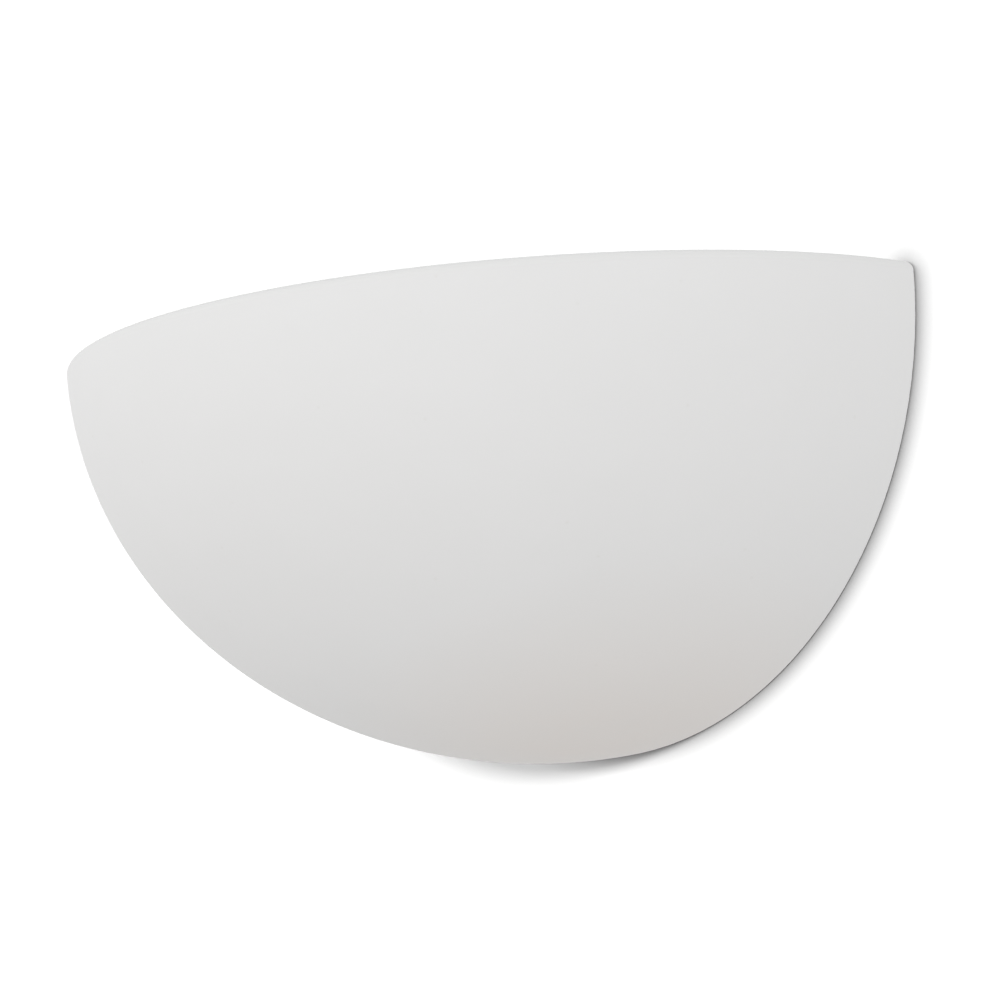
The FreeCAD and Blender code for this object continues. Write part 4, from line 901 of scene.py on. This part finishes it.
class SCONCE_OT_holder(SconceOperator, bpy.types.Operator):
    """Model the glazed lampholder and its threaded shell, and finish its contacts"""
    bl_idname = "sconce.holder"
    bl_label = "Lampholder"

    def execute(self, context):
        body = self.body()
        put(body, (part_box("lampholder_body")[0].x, LAMP_AXIS_Y, 0), X)
        stand_in(body, "lampholder_body", "bracket", porcelain(), 40)
        contact = context.scene.sconce_brass.contact
        pressed = brass("Pressed contact brass", contact, 0.34, (900.0, 140.0, 140.0))
        shell = self.shell(context.scene.sconce_threads)
        put(shell, (HOLDER_FLOOR_X, LAMP_AXIS_Y, 0), X)
        stand_in(shell, "lampholder_shell", "bracket", pressed, 50)
        for name in ("centre_contact", "contact_rivets"):
            finish_node(name, pressed)
        return {"FINISHED"}

    def body(self):
        """Porcelain on Z: base, groove, plain skirt and socket, with every edge rounded by the glaze."""
        base, waist, skirt, socket, recess = 18.5, 17, 20.5, 14.2, 9
        base_end, end, floor, soft = 15, 46, 12, 1.2
        outline = [(0, 4), (recess, 4), (recess, 0)]
        outline += arc((base - soft, soft), soft, -90, 0, 5)
        outline += arc((base - soft, base_end - 0.2 * soft), soft, 0, 70, 5)
        outline += [(waist, 16.4), (waist, 17.6)]
        outline += arc((skirt - soft, 20.2), soft, -70, 0, 5)
        outline += arc((skirt - soft, end - soft), soft, 0, 90, 6)
        outline += arc((socket + soft, end - soft), soft, 90, 180, 6)
        outline += [(socket, floor + 0.5), (socket - 0.5, floor), (0, floor)]
        return turned("lampholder_porcelain", in_mm(outline), 128)

    def shell(self, threads):
        """Thin brass shell on Z with the lamp's rolled thread pressed into it, and the lower rivet's tab."""
        wall, inner, total, hole = 0.4 * MM, 13.4 * MM, 32 * MM, 9.2 * MM
        step = threads.lamp_pitch / 14
        outline = [(hole, 0)] + rings(inner + wall, 0, total, step) + rings(inner, total, wall, -step)
        shell = turned("lampholder_shell_threaded", outline + [(hole, wall), (hole, 0)], 96)
        tab = primitive(
            "cube", "tab", size=1, scale=(6 * MM, 7.1 * MM, wall), location=(0, -6.45 * MM, wall / 2),
        )
        boolean(shell, tab, "UNION")
        in_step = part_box("lamp_cap")[0].x - HOLDER_FLOOR_X
        groove(
            shell, 6 * MM, total - 1.5 * MM, threads.lamp_pitch, threads.lamp_depth, 3 * MM, rolled_shape,
            in_step,
        )
        return shell


class SCONCE_OT_lamp(SconceOperator, bpy.types.Operator):
    """Model the lamp's rolled cap, and finish its glass, insulator and contact"""
    bl_idname = "sconce.lamp"
    bl_label = "Lamp"

    def execute(self, context):
        look = context.scene.sconce_lamp
        low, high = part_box("lamp_cap")
        cap = self.cap(context.scene.sconce_threads, high.x - low.x, (high.z - low.z) / 2)
        put(cap, (low.x, LAMP_AXIS_Y, 0), X)
        nickel = plated("Nickel-plated cap", look.cap, 0.26)
        stand_in(cap, "lamp_cap", "lamp", nickel, 50)
        finish_node("lamp_glass", frosted_glass())
        finish_node("lamp_insulator", moulded("Black cap glass", look.insulator, 0.14, 600.0, 0.02 * MM))
        finish_node("lamp_contact", plated("Solder", look.solder, 0.38))
        return {"FINISHED"}

    def cap(self, threads, total, radius):
        """The cap on Z: a thin shell, closed on the insulator's side, with its thread rolled in."""
        fold, wall, soft = 0.8 * MM, 0.4 * MM, 0.1 * MM
        step = threads.lamp_pitch / 14
        inner = radius - wall
        outline = [(0, 0)] + arc((radius - fold, fold), fold, -90, 0, 5)
        outline += rings(radius, fold + step, total - soft, step)
        outline += [(radius - soft, total), (inner + soft, total)]
        outline += rings(inner, total - soft, fold + step, -step)
        outline += arc((radius - fold, fold), fold - wall, 0, -90, 4) + [(0, wall)]
        cap = turned("lamp_cap_rolled", outline, 96)
        end = total - 3.2 * MM
        groove(cap, 1.6 * MM, end, threads.lamp_pitch, threads.lamp_depth, 1.4 * MM, rolled_shape)
        return cap


class SCONCE_OT_terminals(SconceOperator, bpy.types.Operator):
    """Finish the terminal block, its inserts, the earth ring and the lead clips"""
    bl_idname = "sconce.terminals"
    bl_label = "Terminal block and clips"

    def execute(self, context):
        look = context.scene.sconce_plastic
        finish_node("terminal_block", moulded(
            "Off-white polyamide", look.terminal, 0.42, 1800.0, 0.012 * MM,
            Subsurface_Weight=0.12, Subsurface_Scale=0.002,
        ))
        finish_node("lead_clips", moulded(
            "Natural nylon", look.clip, 0.38, 1400.0, 0.01 * MM,
            Subsurface_Weight=0.25, Subsurface_Scale=0.002,
        ))
        finish_node("terminal_inserts", brass(
            "Terminal brass", context.scene.sconce_brass.contact, 0.30, (700.0, 700.0, 80.0),
        ))
        finish_node("earth_ring_terminal", plated("Tinned copper", context.scene.sconce_leads.copper, 0.33))
        return {"FINISHED"}


class SCONCE_OT_leads(SconceOperator, bpy.types.Operator):
    """Lay the live, neutral and earth leads from the lampholder and the earth stud to the terminal block"""
    bl_idname = "sconce.leads"
    bl_label = "Leads"

    def execute(self, context):
        look = context.scene.sconce_leads
        copper = plated("Tinned strands", look.copper, 0.30)
        leads = {
            "live_lead": (LIVE_ROUTE, "brown_lead", lead_skin("Brown silicone", look.live)),
            "neutral_lead": (NEUTRAL_ROUTE, "blue_lead", lead_skin("Blue silicone", look.neutral)),
            "earth_lead": (
                EARTH_ROUTE, "green_yellow_lead",
                lead_skin("Green and yellow silicone", look.earth, look.stripe),
            ),
        }
        for name, (points, slot, skin) in leads.items():
            route = in_mm(points)
            lead = self.lead(name + "_skin", route, look.radius)
            dress(lead, "bracket", skin)
            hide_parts(name)
            bared = self.strands(name + "_core", route[-1], route[-2])
            if name == "earth_lead":
                bared = joined([bared, self.strands("crimped_core", route[0], route[1])], name + "_cores")
            dress(bared, "bracket", copper)
        return {"FINISHED"}

    def lead(self, name, route, radius):
        """One smooth lead along the route."""
        data = bpy.data.curves.new(name, "CURVE")
        data.dimensions = "3D"
        data.bevel_depth = radius
        data.bevel_resolution = 6
        data.resolution_u = 10
        data.use_fill_caps = True
        spline = data.splines.new("NURBS")
        spline.points.add(len(route) - 1)
        for point, place in zip(spline.points, route):
            point.co = (*place, 1.0)
        spline.order_u = 3
        spline.use_endpoint_u = True
        lead = bpy.data.objects.new(name, data)
        bpy.context.scene.collection.objects.link(lead)
        return lead

    def strands(self, name, end, before):
        """Seven twisted strands that leave a lead's end straight on."""
        outward = (Vector(end) - Vector(before)).normalized()
        thin = CORE_ACROSS / 3
        wires = []
        for i in range(7):
            in_middle = i == 6
            wire = primitive(
                "cylinder", name, vertices=12, radius=thin, depth=CORE_REACH, location=(0, 0, CORE_REACH / 2),
            )
            lean = Matrix.Rotation(0.0 if in_middle else 0.06, 4, "X")
            out = Matrix.Translation((0 if in_middle else 2 * thin, 0, 0))
            wire.data.transform(Matrix.Rotation(i * math.pi / 3, 4, "Z") @ lean @ out)
            wires.append(wire)
        bundle = joined(wires, name)
        put(bundle, Vector(end) - outward * MM, outward)
        return bundle


def seen_rays(tree):
    """1 for the camera's rays, and 1 for those that metal and glass send on."""
    rays = node(tree, "LightPath").outputs
    return rays["Is Camera Ray"], maths("MAXIMUM", rays["Is Glossy Ray"], rays["Is Transmission Ray"])


class SCONCE_OT_stage(SconceOperator, bpy.types.Operator):
    """Set up the wall, the light and the camera"""
    bl_idname = "sconce.stage"
    bl_label = "Stage"

    def execute(self, context):
        look = context.scene.sconce_stage
        self.wall_lamps(look, self.wall(look))
        self.sky(context.scene, look)
        self.camera(context.scene, look)
        context.scene.view_settings.view_transform = "Standard"
        return {"FINISHED"}

    def wall(self, look):
        """A square of white wall that is seen from the room only, with a shade where something touches it."""
        wall = primitive(
            "plane", "wall", size=look.wall_size, location=(0, WALL_GAP, 0), rotation=(math.pi / 2, 0, 0),
        )
        paint = bpy.data.materials.new("White wall")
        paint.use_nodes = True
        paint.cycles.emission_sampling = "NONE"
        tree = paint.node_tree
        tree.nodes.clear()
        place = node(tree, "TexCoord").outputs["Object"]
        roller = bumped(noise(place, 700.0), 0.05 * MM)
        close = node(tree, "AmbientOcclusion", {
            "Color": darker(WHITE, look.wall_paint), "Distance": look.wall_contact,
        })
        matt = node(tree, "BsdfDiffuse", {"Color": close, "Normal": roller})
        glow = node(tree, "Emission", {"Color": WHITE, "Strength": look.wall_glow})
        shown = node(tree, "AddShader", {0: matt, 1: glow})
        straight, mirrored = seen_rays(tree)
        bounce = node(tree, "Emission", {
            "Color": WHITE, "Strength": spread(mirrored, look.wall_bounce, 1.0),
        })
        front = node(tree, "MixShader", {0: straight, 1: bounce, 2: shown})
        behind = node(tree, "NewGeometry").outputs["Backfacing"]
        whole = node(tree, "MixShader", {0: behind, 1: front, 2: node(tree, "BsdfTransparent")})
        node(tree, "OutputMaterial", {"Surface": whole})
        wall.data.materials.append(paint)
        return wall

    def wall_lamps(self, look, wall):
        """Two broad lamps for the wall alone, in whose light the sconce casts its shadow."""
        receivers = bpy.data.collections.new("Wall lamps' receivers")
        receivers.objects.link(wall)
        for name in ("main", "side"):
            power, lean, drop, size = (
                getattr(look, f"{name}_{key}") for key in ("lamp", "lean", "drop", "size")
            )
            travel = Vector((math.tan(lean), 1, -math.tan(drop)))
            bpy.ops.object.light_add(type="SUN", location=(0, -1, 1))
            lamp = bpy.context.object
            lamp.name = name + "_wall_lamp"
            lamp.rotation_euler = travel.to_track_quat("-Z", "Y").to_euler()
            lamp.data.energy = power
            lamp.data.angle = size
            lamp.light_linking.receiver_collection = receivers

    def sky(self, scene, look):
        """Soft light, strongest from the level and weakest from below; the background itself is white."""
        world = scene.world = bpy.data.worlds.new("Soft light")
        world.use_nodes = True
        tree = world.node_tree
        tree.nodes.clear()
        direction = node(tree, "TexCoord").outputs["Generated"]
        height = coordinate(direction, 2)
        gradient = mixed(ranged(height, -1, 0), look.sky_bottom, look.sky_level)
        gradient = mixed(ranged(height, 0, 1), gradient, look.sky_top)
        facing = vectors("DOT_PRODUCT", direction, look.fill_from, "Value")
        gradient = mixed(ranged(facing, 0.45, 0.95, 0.0, look.fill), gradient, WHITE, "ADD")
        light = node(tree, "Background", {"Color": gradient, "Strength": look.sky})
        white = node(tree, "Background", {"Color": WHITE, "Strength": 1.0})
        seen = maths("MAXIMUM", *seen_rays(tree))
        node(tree, "OutputWorld", {"Surface": node(tree, "MixShader", {0: seen, 1: light, 2: white})})

    def camera(self, scene, look):
        """The camera, turned, raised and tilted round its target."""
        aim = (
            Matrix.Rotation(look.azimuth, 4, "Z") @ Matrix.Rotation(math.pi / 2 - look.elevation, 4, "X")
            @ Matrix.Rotation(look.roll, 4, "Z")
        )
        bpy.ops.object.camera_add()
        camera = scene.camera = bpy.context.object
        camera.name = "camera"
        camera.matrix_world = (
            Matrix.Translation(look.target) @ aim @ Matrix.Translation((0, 0, look.distance))
        )
        camera.data.sensor_width = 36
        camera.data.lens = look.lens
        camera.data.clip_start = 0.01


OPERATORS = (
    SCONCE_OT_bowl, SCONCE_OT_bracket, SCONCE_OT_studs, SCONCE_OT_thumb_nuts, SCONCE_OT_screws,
    SCONCE_OT_nuts, SCONCE_OT_holder, SCONCE_OT_lamp, SCONCE_OT_terminals, SCONCE_OT_leads, SCONCE_OT_stage,
)

SETTINGS = {
    "sconce_ceramic": CeramicSettings,
    "sconce_steel": SteelSettings,
    "sconce_brass": BrassSettings,
    "sconce_threads": ThreadSettings,
    "sconce_porcelain": PorcelainSettings,
    "sconce_lamp": LampSettings,
    "sconce_plastic": PlasticSettings,
    "sconce_leads": LeadSettings,
    "sconce_stage": StageSettings,
}


class SCONCE_PT_panel(bpy.types.Panel):
    """Lists the sconce's pieces and its settings"""
    bl_idname = "SCONCE_PT_panel"
    bl_label = "Wall sconce"
    bl_space_type = "VIEW_3D"
    bl_region_type = "UI"
    bl_category = "Sconce"

    def draw(self, context):
        for operator in OPERATORS:
            self.layout.operator(operator.bl_idname)
        for name, group in SETTINGS.items():
            box = self.layout.box()
            box.label(text=name.replace("sconce_", "").title())
            for key in group.__annotations__:
                box.prop(getattr(context.scene, name), key)


def register():
    for name, group in SETTINGS.items():
        bpy.utils.register_class(group)
        setattr(bpy.types.Scene, name, bpy.props.PointerProperty(type=group))
    for kind in (*OPERATORS, SCONCE_PT_panel):
        bpy.utils.register_class(kind)


def unregister():
    for kind in (SCONCE_PT_panel, *reversed(OPERATORS)):
        bpy.utils.unregister_class(kind)
    for name, group in SETTINGS.items():
        delattr(bpy.types.Scene, name)
        bpy.utils.unregister_class(group)


def main():
    register()
    make_effects()
    bpy.ops.sconce.bowl()
    bpy.ops.sconce.bracket()
    bpy.ops.sconce.studs()
    bpy.ops.sconce.thumb_nuts()
    bpy.ops.sconce.screws()
    bpy.ops.sconce.nuts()
    bpy.ops.sconce.holder()
    bpy.ops.sconce.lamp()
    bpy.ops.sconce.terminals()
    bpy.ops.sconce.leads()
    bpy.ops.sconce.stage()


if __name__ == "__main__":
    main()
